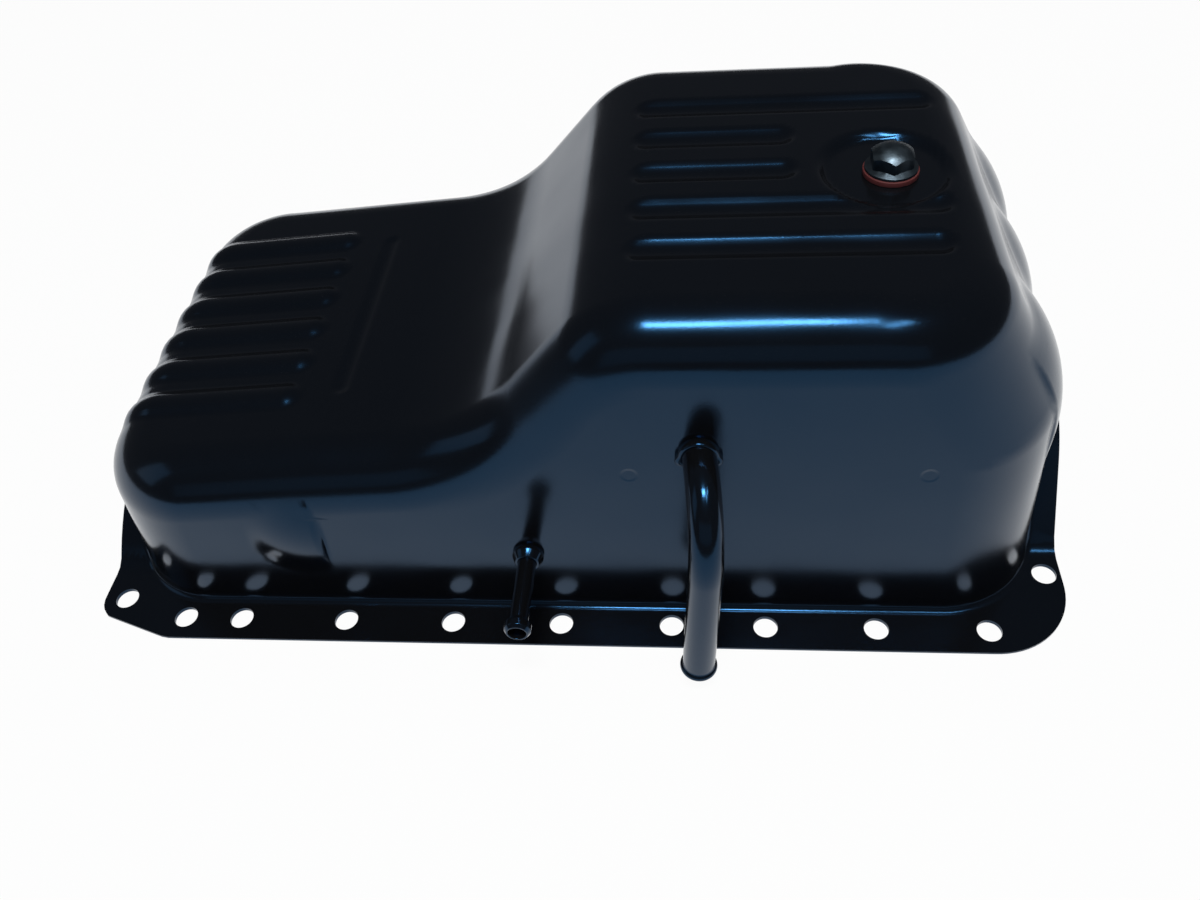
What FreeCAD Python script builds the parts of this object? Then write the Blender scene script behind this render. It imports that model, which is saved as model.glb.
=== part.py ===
"""Engine oil pan: one deep-drawn sheet with a deep sump, a shallow tray and an arched bolting flange,
a drain plug with its seal and boss, a bent return tube, a hose nipple and an inner baffle plate.

The pan lies with its gasket face down: z = 0 is the gasket plane, +Z points to the sump's floor, +X to
the deep end and -Y to the side with the two pipe stubs. The origin is the middle of the bolt pattern.
Lengths are in millimetres and angles in degrees.
"""
import FreeCAD, Part
import math
import os
from FreeCAD import Vector

os.makedirs("parts", exist_ok=True)

# Sheet and bolting flange
sheet = 1.5
bend_radius = 3.0
row_half_width = 101.7
row_half_length = 154.0
inner_row_holes = [-131.0, -88.5, -46.0, -4.0, 38.0, 73.0, 113.5]
bolt_hole = 9.0
edge_distance = 9.0
tab_hole_x = -182.0
tab_hole_inset = 8.3
corner_hole_x = 178.8
corner_hole_inset = 25.6
flange_left = -191.5
flange_right = 185.0
tab_inset = 1.7
tab_taper_end = -160.0
tab_radius = 9.5
tab_taper_radius = 14.0
flange_corner_radius = 30.0

# Body: side profile and cross section
wall_to_row = 9.0
side_draft = 1.5
corner_radius = 38.0
rim_radius = 22.0
left_base = -184.0
left_lean = 4.0
tray_height = 66.0
tray_slope = 4.6
ramp_foot_x = -34.6
ramp_angle = 48.2
sump_depth = 135.0
foot_round_share = 1.0145
top_round_share = 0.58
foot_radius = (sump_depth - tray_height) * foot_round_share
top_radius = (sump_depth - tray_height) * top_round_share
end_top_x = 144.0
end_bend_x = 170.5
end_bend_drop = 49.0
end_bend_z = sump_depth - end_bend_drop
end_bend_radius = 30.0
right_base = 175.0

# Arched ends of the flange, round the crankshaft's seals: distance of the foot from the long wall, slope
# of the sides, height, and half length of the flat crest
left_arch_inset = 15.7
left_arch_angle = 44.0
left_arch_rise = 29.0
left_arch_flat = 11.4
right_arch_inset = 28.7
right_arch_angle = 56.0
right_arch_rise = 52.0
right_arch_flat = 2.3
arch_foot_radius = 10.0

# Pressed grooves and the plug's recess in the sump's floor
groove_radius = 8.0
groove_depth = 2.6
groove_pitch = 22.3
groove_start = 22.0
groove_ends = [133.0, 136.0, 86.0, 86.0, 139.0]
recess_x = 114.0
recess_radius = 23.5
recess_depth = 3.1

# Pressed ribs and the cross groove in the tray's floor
rib_count = 6
rib_radius = 9.0
rib_height = 2.6
rib_pitch = 19.6
rib_end = -99.0
rib_curl = 11.0
rib_curl_turn = 80.0
cross_x = -86.0
cross_half_length = 50.0
cross_radius = 4.0
cross_depth = 1.0

# Bulges in the deep end's wall and the relief pad in the front wall
bulge_pitch = 48.0
bulge_half_width = 23.0
bulge_height = 2.4
bulge_sagitta = 5.2
bulge_crest = 60.0
bulge_turn = 3.0
bulge_core_share = 0.33
bulge_sweep = 120.0
pad_x = -100.0
pad_z = 38.0
pad_radius = 17.0
pad_height = 3.0
pad_back = 1.5
pad_step_x = -90.5

# Drain plug, its seal and the welded boss
plug_x = 116.0
thread_diameter = 12.0
thread_clearance = 0.05
plug_hole_clearance = 0.5
boss_diameter = 24.0
boss_height = 8.0
washer_diameter = 19.5
washer_thickness = 2.0
washer_clearance = 0.2
plug_flange_diameter = 18.5
plug_flange_thickness = 2.0
plug_tip = 4.0
plug_tip_chamfer = 1.0
hex_sides = 6
hex_across_flats = 14.0
hex_height = 7.0
hex_dome_radius = 11.0

# Return tube: leaves the front wall, turns down and ends in a bead beside the flange
tube_diameter = 11.6
tube_wall = 1.2
tube_x = 49.0
tube_z = 86.0
tube_inside = 5.0
tube_reach = 31.0
tube_elbow_x = 52.3
tube_bend_radius = 26.0
tube_end_x = 48.2
tube_end_z = 5.5
tube_bead_height = 0.9
tube_bead_width = 2.4
tube_bead_inset = 0.6
tube_bead_round = 0.45
collar_diameter = 13.6
collar_thickness = 3.0
ear_radius = 1.8
ear_offset = 6.2
ear_drop = 1.6
ear_thickness = 1.8

# Hose nipple: a short straight pipe with a beaded end
nipple_x = -14.0
nipple_z = 32.0
nipple_diameter = 6.8
nipple_wall = 1.1
nipple_length = 34.0
nipple_inside = 4.0
nipple_bead_diameter = 9.6
nipple_bead_length = 5.0
nipple_mouth_diameter = 6.6
nipple_collar_diameter = 11.6
nipple_collar_rim = 1.6
nipple_collar_length = 4.5
nipple_collar_top = 8.8

# Baffle plate, spot-welded by four lugs to the side walls inside the sump
baffle_sheet = 1.2
baffle_z = 66.0
baffle_start_x = 11.0
baffle_end_x = 138.0
baffle_lip = 8.0
baffle_bend_radius = 2.5
baffle_wall_gap = 3.0
lug_places = [25.5, 124.0]
lug_width = 15.0
lug_height = 15.0
lug_bend_radius = 3.0
pickup_x = 88.0
pickup_radius = 33.0
slot_places = [30.0, 75.0, 120.0]
slot_y = 62.0
slot_half_length = 15.0
slot_radius = 6.0
slot_end_share = 0.999

# How far helper blocks reach past what they cut or join, and the shortest run that is drawn
skirt = 20.0
clear = 400.0
overrun = 1.0
shortest = 0.000001

# Limits of a face's normal by which the block's faces are told apart
leaning = 0.3
upright = 0.01
level = 0.001
sideways = 0.9


def solid(shape):
    """The one solid of a shape made by a cut, a common or a union."""
    found = shape.Solids
    if len(found) != 1:
        raise ValueError("expected one solid, got %d" % len(found))
    return found[0]


def rounded_wire(points, radii, place, inset=0.0):
    """Closed wire of straight runs joined by tangent arcs. The corners go anticlockwise; inset moves
    every run inwards and changes the radii with it. place turns (a, b) into a point in space."""
    count = len(points)
    runs = []
    for i in range(count):
        a0, b0 = points[i]
        a1, b1 = points[(i + 1) % count]
        length = math.hypot(a1 - a0, b1 - b0)
        da, db = (a1 - a0) / length, (b1 - b0) / length
        runs.append((a0 - db * inset, b0 + da * inset, da, db))
    stations = []
    for i in range(count):
        pa, pb, ua, ub = runs[i - 1]
        qa, qb, va, vb = runs[i]
        cross = ua * vb - ub * va
        step = ((qa - pa) * vb - (qb - pb) * va) / cross
        corner = (pa + ua * step, pb + ub * step)
        side = 1.0 if cross > 0 else -1.0
        radius = radii[i] - side * inset if radii[i] > 0 else 0.0
        turn = math.atan2(abs(cross), ua * va + ub * vb)
        if radius <= 0:
            stations.append((corner, None, corner))
            continue
        tangent = radius * math.tan(turn / 2)
        start = (corner[0] - ua * tangent, corner[1] - ub * tangent)
        end = (corner[0] + va * tangent, corner[1] + vb * tangent)
        ma, mb = va - ua, vb - ub
        size = math.hypot(ma, mb)
        rise = radius / math.cos(turn / 2) - radius
        middle = (corner[0] + ma / size * rise, corner[1] + mb / size * rise)
        stations.append((start, middle, end))
    edges = []
    for i in range(count):
        start, middle, end = stations[i]
        if middle is not None:
            edges.append(Part.Arc(place(*start), place(*middle), place(*end)).toShape())
        ahead = stations[(i + 1) % count][0]
        if math.hypot(ahead[0] - end[0], ahead[1] - end[1]) > shortest:
            edges.append(Part.LineSegment(place(*end), place(*ahead)).toShape())
    return Part.Wire(edges)


def prism(points, radii, place, along, inset=0.0):
    """Solid between the wire and the same wire moved by the vector along."""
    return Part.Face(rounded_wire(points, radii, place, inset)).extrude(along)


def side_prism(points, radii, half_width, inset=0.0):
    """Prism of an XZ profile, as wide as half_width on both sides of the middle."""
    return prism(points, radii, lambda a, b: Vector(a, half_width, b), Vector(0, -2 * half_width, 0), inset)


def end_prism(points, radii, x0, x1, inset=0.0):
    """Prism of a YZ profile from x0 to x1."""
    return prism(points, radii, lambda a, b: Vector(x0, a, b), Vector(x1 - x0, 0, 0), inset)


def turned(points, place, axis):
    """Solid of revolution of a closed outline of (radius, height) points round the axis."""
    corners = [place(*point) for point in points]
    return Part.Face(Part.makePolygon(corners + corners[:1])).revolve(place(0, 0), axis, 360)


def facing(face):
    """Outward normal at the middle of a face."""
    u0, u1, v0, v1 = face.ParameterRange
    return face.normalAt((u0 + u1) / 2, (v0 + v1) / 2)


def is_top(normal):
    """Tray floor, ramp and sump floor, before their edges are rounded."""
    return normal.z > leaning and normal.x < leaning and abs(normal.y) < upright


def is_end(normal):
    """End walls, before their corners are rounded."""
    return abs(normal.y) < upright and abs(normal.x) > leaning and (normal.x > 0 or normal.z < leaning)


def is_side(normal):
    """Long side walls."""
    return abs(normal.y) > sideways


def is_level(normal):
    """Faces that lie flat or slope only across the pan, as on the flange and its arches."""
    return normal.z > leaning and abs(normal.x) < level


def seam(first, second):
    """Edges that a face of the first list shares with one of the second."""
    known = [edge for face in second for edge in face.Edges]
    return [edge for face in first for edge in face.Edges if any(edge.isSame(other) for other in known)]


def outline(faces):
    """Edges that belong to only one of the faces."""
    edges = []
    for i, face in enumerate(faces):
        others = faces[:i] + faces[i + 1:]
        shared = seam([face], others)
        edges += [edge for edge in face.Edges if not any(edge.isSame(other) for other in shared)]
    return edges


def tray_line(x):
    """Height of the tray's floor, straight on from the left wall to the ramp."""
    return tray_height + math.tan(math.radians(tray_slope)) * (x - left_base)


def half_width(z, inset):
    """Half the width between the side walls at a height, moved inwards by inset."""
    draft = math.radians(side_draft)
    return row_half_width - wall_to_row - math.tan(draft) * z - inset / math.cos(draft)


def wall_slab(inset):
    """Everything between the two drafted side walls, moved inwards by inset."""
    section = [
        (-half_width(-clear, 0.0), -clear),
        (half_width(-clear, 0.0), -clear),
        (half_width(clear, 0.0), clear),
        (-half_width(clear, 0.0), clear),
    ]
    return end_prism(section, [0.0] * len(section), -clear, clear, inset)


def body(inset):
    """Solid block of the pan's outside without its flange, moved inwards by inset on every side."""
    lean = math.tan(math.radians(left_lean))
    left_top_x = left_base + lean * tray_height
    ramp_top_x = ramp_foot_x + (sump_depth - tray_line(ramp_foot_x)) / math.tan(math.radians(ramp_angle))
    end_lean = (right_base - end_bend_x) / end_bend_z
    profile = [
        (left_base - lean * skirt, -skirt),
        (right_base + end_lean * skirt, -skirt),
        (end_bend_x, end_bend_z),
        (end_top_x, sump_depth),
        (ramp_top_x, sump_depth),
        (ramp_foot_x, tray_line(ramp_foot_x)),
        (left_top_x, tray_line(left_top_x)),
    ]
    radii = [0.0, 0.0, end_bend_radius, 0.0, top_radius, foot_radius, 0.0]
    block = solid(side_prism(profile, radii, clear / 2, inset).common(wall_slab(inset)))
    ends = [face for face in block.Faces if is_end(facing(face))]
    sides = [face for face in block.Faces if is_side(facing(face))]
    block = solid(block.makeFillet(corner_radius - inset, seam(ends, sides)))
    tops = [face for face in block.Faces if is_top(facing(face))]
    return solid(block.makeFillet(rim_radius - inset, outline(tops)))


def arch_block(inset, angle, rise, flat, x0, x1, lift):
    """What lies under one arched end of the flange, from x0 to x1. lift raises it by the sheet for the
    flange's upper face."""
    foot = row_half_width - wall_to_row - inset
    run = rise / math.tan(math.radians(angle))
    crest_radius = (foot - run - flat) / math.tan(math.radians(angle) / 2)
    margin = arch_foot_radius
    points = [
        (-foot - margin, -skirt),
        (foot + margin, -skirt),
        (foot + margin, 0.0),
        (foot, 0.0),
        (foot - run, rise),
        (run - foot, rise),
        (-foot, 0.0),
        (-foot - margin, 0.0),
    ]
    radii = [0.0, 0.0, 0.0, arch_foot_radius, crest_radius, crest_radius, arch_foot_radius, 0.0]
    return end_prism(points, radii, x0, x1, -lift)


def hat(inset):
    """Body and flange in one block with a bend between them. Its skin is the pan's outside moved inwards
    by inset, so that it is also the space under the sheet."""
    top = sheet - inset
    base = Part.makeBox(2 * clear, 2 * clear, top + skirt, Vector(-clear, -clear, -skirt))
    arches = [
        arch_block(left_arch_inset, left_arch_angle, left_arch_rise, left_arch_flat,
                   -clear, left_base + corner_radius, top),
        arch_block(right_arch_inset, right_arch_angle, right_arch_rise, right_arch_flat,
                   right_base - corner_radius, clear, top),
    ]
    base = solid(base.fuse(arches))
    block = solid(base.fuse(body(inset)))
    flange = [face for face in block.Faces if is_level(facing(face)) and face.BoundBox.ZMax < tray_height]
    bend = []
    for edge in outline(flange):
        middle = edge.valueAt((edge.FirstParameter + edge.LastParameter) / 2)
        if max(abs(middle.x), abs(middle.y)) < clear - overrun:
            bend.append(edge)
    return solid(block.makeFillet(bend_radius + inset, bend))


def bar(x0, x1, y, z, radius):
    """Round bar along X with ball ends, from the tip at x0 to the tip at x1."""
    half = math.sqrt(0.5) * radius
    start, end = Vector(x0, y, z), Vector(x1, y, z)
    start_top, end_top = Vector(x0 + radius, y, z + radius), Vector(x1 - radius, y, z + radius)
    outline_edges = [
        Part.LineSegment(start, end).toShape(),
        Part.Arc(end, Vector(x1 - radius + half, y, z + half), end_top).toShape(),
        Part.LineSegment(end_top, start_top).toShape(),
        Part.Arc(start_top, Vector(x0 + radius - half, y, z + half), start).toShape(),
    ]
    return Part.Face(Part.Wire(outline_edges)).revolve(start, Vector(1, 0, 0), 360)


def floor_grooves(grow):
    """Cutters of the long grooves in the sump's floor, grown by the sheet for its inner face."""
    cutters = []
    for i, end in enumerate(groove_ends):
        y = (i - (len(groove_ends) - 1) / 2) * groove_pitch
        z = sump_depth - groove_depth + groove_radius
        cutters.append(bar(groove_start - grow, end + grow, y, z, groove_radius + grow))
    return cutters


def recess_floor():
    """Height of the recess that the drain plug's seal sits on."""
    return sump_depth - recess_depth


def plug_recess(grow):
    """Cutter of the round recess that the drain plug sits in."""
    low = recess_radius - recess_depth + grow
    high = recess_radius + recess_depth + grow
    floor = Vector(recess_x, 0, recess_floor() - grow)
    return Part.makeCone(low, high, 2 * recess_depth, floor)


def on_tray(x, y):
    """Placement with its X axis along the tray's sloping floor and its origin on that floor."""
    turn = FreeCAD.Rotation(Vector(0, 1, 0), -tray_slope)
    return FreeCAD.Placement(Vector(x, y, tray_line(x)), turn)


def tray_ribs(shrink):
    """Raised ribs of the tray's floor: round bars that curl down into the left wall's bend."""
    lean = math.tan(math.radians(left_lean))
    bend_turn = math.radians(90 - left_lean - tray_slope)
    start_x = left_base + lean * tray_height + rim_radius * math.tan(bend_turn / 2)
    length = (rib_end - start_x) / math.cos(math.radians(tray_slope))
    axis_z = rib_height - rib_radius
    ribs = []
    for i in range(rib_count):
        y = (i - (rib_count - 1) / 2) * rib_pitch
        straight = bar(-rib_radius, length - shrink, 0, axis_z, rib_radius - shrink)
        circle = Part.makeCircle(rib_radius - shrink, Vector(0, 0, axis_z), Vector(1, 0, 0))
        section = Part.Face(Part.Wire(circle))
        curl = section.revolve(Vector(0, 0, axis_z - rib_curl), Vector(0, -1, 0), rib_curl_turn)
        for piece in (straight, curl):
            piece.Placement = on_tray(start_x, y)
            ribs.append(piece)
    return ribs


def cross_groove(grow):
    """Cutter of the shallow groove across the tray beyond the ribs' ends."""
    reach = cross_half_length + grow
    cutter = bar(-reach, reach, 0, cross_radius - cross_depth, cross_radius + grow)
    cutter.rotate(Vector(0, 0, 0), Vector(0, 0, 1), 90)
    cutter.Placement = on_tray(cross_x, 0).multiply(cutter.Placement)
    return cutter


def end_bulges(shrink):
    """Three lens-shaped bulges over the bend of the deep end's wall."""
    upper = math.atan2(end_bend_x - end_top_x, sump_depth - end_bend_z)
    lower = math.atan2(right_base - end_bend_x, end_bend_z)
    tilt = (upper + lower) / 2
    arc = (bulge_half_width ** 2 + bulge_sagitta ** 2) / (2 * bulge_sagitta)
    bend_gap = end_bend_radius * (1 / math.cos((upper - lower) / 2) - 1)
    crest = bulge_crest - shrink
    low = crest - (arc - shrink - math.sqrt((arc - shrink) ** 2 - bulge_half_width ** 2))
    core = crest * bulge_core_share
    reach = bulge_height - bend_gap - bulge_crest
    centre = Vector(end_bend_x + math.cos(tilt) * reach, 0, end_bend_z + math.sin(tilt) * reach)
    near, far = Vector(low, -bulge_half_width, 0), Vector(low, bulge_half_width, 0)
    core_near, core_far = Vector(core, -bulge_half_width, 0), Vector(core, bulge_half_width, 0)
    bulges = []
    for i in (-1, 0, 1):
        lens = Part.Face(Part.Wire([
            Part.Arc(near, Vector(crest, 0, 0), far).toShape(),
            Part.LineSegment(far, core_far).toShape(),
            Part.LineSegment(core_far, core_near).toShape(),
            Part.LineSegment(core_near, near).toShape(),
        ]))
        lens.rotate(Vector(0, 0, 0), Vector(0, 1, 0), bulge_sweep / 2)
        lens = lens.revolve(Vector(0, 0, 0), Vector(0, -1, 0), bulge_sweep)
        lens.rotate(Vector(0, 0, 0), Vector(0, 1, 0), -math.degrees(tilt))
        lens.translate(centre + Vector(0, i * bulge_pitch, 0))
        lens.rotate(Vector(end_bend_x, i * bulge_pitch, end_bend_z), Vector(0, 0, 1), i * bulge_turn)
        bulges.append(lens)
    return bulges


def front_pad(shrink):
    """Relief pad in the front wall: a flat ball cap that ends in an upright step. Its back lies just
    inside the sheet, so that it stays clear of the rim's round."""
    ball = (pad_radius ** 2 + pad_height ** 2) / (2 * pad_height)
    wall = -half_width(pad_z, 0.0)
    front = wall - 2 * pad_height
    cap = Part.makeSphere(ball - shrink, Vector(pad_x, wall - pad_height + ball, pad_z))
    corner = Vector(pad_step_x - shrink - clear, front, 0)
    keep = Part.makeBox(clear, wall + pad_back + shrink - front, clear, corner)
    return solid(cap.common(keep))


def skin(inset):
    """The hat with all its pressed shapes, moved inwards by inset."""
    form = solid(hat(inset).fuse(tray_ribs(inset) + end_bulges(inset) + [front_pad(inset)]))
    return solid(form.cut(floor_grooves(inset) + [plug_recess(inset), cross_groove(inset)]))


def flange_plan():
    """The flange's outline as an upright prism taller than the pan."""
    edge = row_half_width + edge_distance
    tab_half_width = row_half_width - tab_inset
    points = [
        (flange_left, -tab_half_width),
        (tab_taper_end, -edge),
        (flange_right, -edge),
        (flange_right, edge),
        (tab_taper_end, edge),
        (flange_left, tab_half_width),
    ]
    radii = [tab_radius, tab_taper_radius, flange_corner_radius]
    radii = radii + radii[::-1]
    return prism(points, radii, lambda a, b: Vector(a, b, -overrun), Vector(0, 0, 2 * sump_depth))


def bolt_places():
    """Centres of all bolt holes of the flange."""
    rows = [-row_half_length] + inner_row_holes + [row_half_length]
    pairs = [(x, row_half_width) for x in rows]
    pairs.append((tab_hole_x, row_half_width - tab_hole_inset))
    pairs.append((corner_hole_x, row_half_width - corner_hole_inset))
    return [(x, side * y) for x, y in pairs for side in (-1, 1)]


def upright_pin(radius, x, y, z0, z1):
    """Upright cylinder between two heights."""
    return Part.makeCylinder(radius, z1 - z0, Vector(x, y, z0))


def pan_shell():
    """The whole pressing, with its bolt holes and the holes for the plug and the two pipes."""
    shell = solid(skin(0.0).cut(skin(sheet)).common(flange_plan()))
    holes = [upright_pin(bolt_hole / 2, x, y, -overrun, bend_radius + sheet) for x, y in bolt_places()]
    plug_hole = thread_diameter / 2 + plug_hole_clearance
    holes.append(upright_pin(plug_hole, plug_x, 0, recess_floor() - 2 * sheet, sump_depth))
    holes.append(tube_form(tube_diameter / 2))
    nipple_radius = nipple_diameter / 2
    holes.append(nipple_form([
        (0, -nipple_inside),
        (nipple_radius, -nipple_inside),
        (nipple_radius, nipple_length),
        (0, nipple_length),
    ]))
    return solid(shell.cut(holes))


def drain_boss():
    """Round threaded boss under the recess, welded to the sheet's inner face."""
    seat = recess_floor() - sheet
    bore = thread_diameter / 2 + thread_clearance
    ring = upright_pin(boss_diameter / 2, plug_x, 0, seat - boss_height, seat)
    return solid(ring.cut(upright_pin(bore, plug_x, 0, seat - 2 * boss_height, seat + overrun)))


def drain_washer():
    """Flat fibre seal between the recess and the plug's flange."""
    bore = thread_diameter / 2 + washer_clearance
    seat = recess_floor()
    ring = upright_pin(washer_diameter / 2, plug_x, 0, seat, seat + washer_thickness)
    return solid(ring.cut(upright_pin(bore, plug_x, 0, seat - overrun, seat + 2 * washer_thickness)))


def drain_plug():
    """Flanged screw plug with a domed hexagon head."""
    seat = recess_floor() + washer_thickness
    shank = thread_diameter / 2
    tip = washer_thickness + sheet + boss_height + plug_tip
    top = plug_flange_thickness
    profile = [
        (0, -tip),
        (shank - plug_tip_chamfer, -tip),
        (shank, plug_tip_chamfer - tip),
        (shank, 0),
        (plug_flange_diameter / 2, 0),
        (plug_flange_diameter / 2, top / 2),
        (hex_across_flats / 2, top),
        (0, top),
    ]
    screw = turned(profile, lambda r, h: Vector(plug_x + r, 0, seat + h), Vector(0, 0, 1))
    corner = hex_across_flats / 2 / math.cos(math.pi / hex_sides)
    corners = []
    for i in range(hex_sides):
        angle = 2 * math.pi * i / hex_sides
        corners.append(Vector(plug_x + corner * math.cos(angle), corner * math.sin(angle), seat + top / 2))
    head = Part.Face(Part.makePolygon(corners + corners[:1])).extrude(Vector(0, 0, top / 2 + hex_height))
    dome = Part.makeSphere(hex_dome_radius, Vector(plug_x, 0, seat + top + hex_height - hex_dome_radius))
    return solid(screw.fuse(solid(head.common(dome))))


def tube_route():
    """Start inside the wall, elbow and end of the return tube's centre line."""
    wall = -half_width(tube_z, 0.0)
    start = Vector(tube_x, wall, tube_z)
    elbow = Vector(tube_elbow_x, wall - tube_reach, tube_z)
    end = Vector(tube_end_x, wall - tube_reach, tube_end_z)
    out = (elbow - start).normalize()
    return start - out * (sheet + tube_inside), elbow, end


def tube_form(radius):
    """Round bar along the return tube's centre line."""
    start, elbow, end = tube_route()
    out = (elbow - start).normalize()
    down = (end - elbow).normalize()
    turn = out.getAngle(down)
    tangent = tube_bend_radius * math.tan(turn / 2)
    bend_start, bend_end = elbow - out * tangent, elbow + down * tangent
    inwards = (down - out).normalize()
    middle = elbow + inwards * (tube_bend_radius / math.cos(turn / 2) - tube_bend_radius)
    route = Part.Wire([
        Part.LineSegment(start, bend_start).toShape(),
        Part.Arc(bend_start, middle, bend_end).toShape(),
        Part.LineSegment(bend_end, end).toShape(),
    ])
    section = Part.Wire(Part.makeCircle(radius, start, out))
    return route.makePipeShell([section], True, True)


def return_tube():
    """Bent tube with a bead round its lower end."""
    start, elbow, end = tube_route()
    down = (end - elbow).normalize()
    bead_edge = tube_bead_width / 2
    middle = end - down * (tube_bead_inset + bead_edge)
    outer = tube_diameter / 2
    ring = Part.makeCylinder(outer + tube_bead_height, tube_bead_width, middle - down * bead_edge, down)
    ring = ring.makeFillet(tube_bead_round, [ring.Edges[0], ring.Edges[2]])
    tube = solid(tube_form(outer).fuse(ring))
    return solid(tube.cut(tube_form(outer - tube_wall)))


def return_tube_collar():
    """Two-eared collar that holds the return tube to the front wall."""
    wall = Vector(tube_x, -half_width(tube_z, 0.0) + overrun, tube_z)
    outwards = Vector(0, -1, 0)
    collar = Part.makeCylinder(collar_diameter / 2, collar_thickness + overrun, wall, outwards)
    ears = []
    for side in (-1, 1):
        place = wall + Vector(side * ear_offset, 0, -ear_drop)
        ears.append(Part.makeCylinder(ear_radius, ear_thickness + overrun, place, outwards))
    collar = solid(collar.fuse(ears))
    return solid(solid(collar.cut(wall_slab(0.0))).cut(tube_form(tube_diameter / 2)))


def nipple_form(points):
    """Turned shape round the nipple's axis: (radius, distance out from the wall's face) points."""
    wall = -half_width(nipple_z, 0.0)
    return turned(points, lambda r, h: Vector(nipple_x + r, wall - h, nipple_z), Vector(0, -1, 0))


def hose_nipple():
    """Straight pipe with a swelling and a flared mouth at its free end."""
    outer = nipple_diameter / 2
    bore = outer - nipple_wall
    bead = nipple_bead_diameter / 2
    mouth = nipple_mouth_diameter / 2
    neck = nipple_length - nipple_bead_length
    step = nipple_bead_length / 4
    return nipple_form([
        (bore, -nipple_inside),
        (outer, -nipple_inside),
        (outer, neck),
        (bead, neck + step),
        (bead, neck + 3 * step),
        (mouth + nipple_wall / 2, nipple_length),
        (mouth, nipple_length),
        (mouth, nipple_length - step),
        (bore, neck),
    ])


def nipple_collar():
    """Cone-shaped boss that the nipple is brazed into."""
    outer = nipple_diameter / 2
    boss = nipple_form([
        (outer, -overrun),
        (nipple_collar_diameter / 2, -overrun),
        (nipple_collar_diameter / 2, nipple_collar_rim),
        (nipple_collar_top / 2, nipple_collar_length),
        (outer, nipple_collar_length),
    ])
    return solid(boss.cut(wall_slab(0.0)))


def baffle_plate():
    """Sheet across the sump with turned-down end lips, four welded lugs, a round opening for the oil
    pickup and drain slots."""
    top = baffle_z + baffle_sheet
    profile = [
        (baffle_start_x, baffle_z - baffle_lip),
        (baffle_start_x + baffle_sheet, baffle_z - baffle_lip),
        (baffle_start_x + baffle_sheet, baffle_z),
        (baffle_end_x - baffle_sheet, baffle_z),
        (baffle_end_x - baffle_sheet, baffle_z - baffle_lip),
        (baffle_end_x, baffle_z - baffle_lip),
        (baffle_end_x, top),
        (baffle_start_x, top),
    ]
    inner_bend = baffle_bend_radius - baffle_sheet
    radii = [0.0, 0.0, inner_bend, inner_bend, 0.0, 0.0, baffle_bend_radius, baffle_bend_radius]
    plate = side_prism(profile, radii, half_width(top, sheet) - baffle_wall_gap)
    lug_top = baffle_z + lug_height
    low, high = half_width(baffle_z, sheet), half_width(lug_top, sheet)
    inner_low, inner_high = half_width(top, sheet + baffle_sheet), half_width(lug_top, sheet + baffle_sheet)
    channel = [
        (-low, baffle_z),
        (low, baffle_z),
        (high, lug_top),
        (inner_high, lug_top),
        (inner_low, top),
        (-inner_low, top),
        (-inner_high, lug_top),
        (-high, lug_top),
    ]
    inner_bend = lug_bend_radius - baffle_sheet
    radii = [lug_bend_radius, lug_bend_radius, 0.0, 0.0, inner_bend, inner_bend, 0.0, 0.0]
    straps = [end_prism(channel, radii, x - lug_width / 2, x + lug_width / 2) for x in lug_places]
    plate = solid(plate.fuse(straps))
    low_cut, high_cut = baffle_z - overrun, top + overrun
    openings = [upright_pin(pickup_radius, pickup_x, 0, low_cut, high_cut)]
    for x in slot_places:
        for side in (-1, 1):
            corners = [
                (-slot_half_length, -slot_radius),
                (slot_half_length, -slot_radius),
                (slot_half_length, slot_radius),
                (-slot_half_length, slot_radius),
            ]
            round_ends = [slot_radius * slot_end_share] * len(corners)
            slot = prism(corners, round_ends, lambda a, b: Vector(x + a, side * slot_y + b, low_cut),
                         Vector(0, 0, high_cut - low_cut))
            openings.append(slot)
    return solid(plate.cut(openings))


if __name__ == "__main__":
    for make in (pan_shell, drain_boss, drain_washer, drain_plug, return_tube, return_tube_collar,
                 hose_nipple, nipple_collar, baffle_plate):
        shape = make()
        print(make.__name__, shape.isValid(), round(shape.Volume), len(shape.Faces))
        shape.exportStep("parts/%s.step" % make.__name__)
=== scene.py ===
"""Looks of the engine oil pan, laid out as an add-on and run as a script.

Everything is in metres in the CAD's frame: z = 0 is the gasket plane, +Z points to the sump's floor, +X to
the deep end and -Y to the side with the two pipe stubs. The pressing is the zero surface of a distance
field, a grid of points pushed onto it, so that its normals are exact and the gloss runs over it unbroken.
"""
import math
import bmesh
import bpy
import numpy as np
from bpy.props import FloatProperty, FloatVectorProperty, IntProperty, PointerProperty
from mathutils import Matrix, Vector


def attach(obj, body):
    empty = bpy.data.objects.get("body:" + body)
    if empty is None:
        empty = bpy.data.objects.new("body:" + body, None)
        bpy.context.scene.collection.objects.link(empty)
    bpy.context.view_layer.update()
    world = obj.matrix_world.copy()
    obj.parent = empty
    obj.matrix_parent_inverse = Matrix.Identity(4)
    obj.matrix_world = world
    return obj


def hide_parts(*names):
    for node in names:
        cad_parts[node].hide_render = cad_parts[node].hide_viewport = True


bl_info = {
    "name": "Engine Oil Pan",
    "version": (1, 0, 0),
    "blender": (4, 5, 0),
    "location": "3D View > Sidebar > Oil Pan",
    "description": "Pressed oil pan with drain plug, return tube and hose nipple",
    "category": "Object",
}

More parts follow.
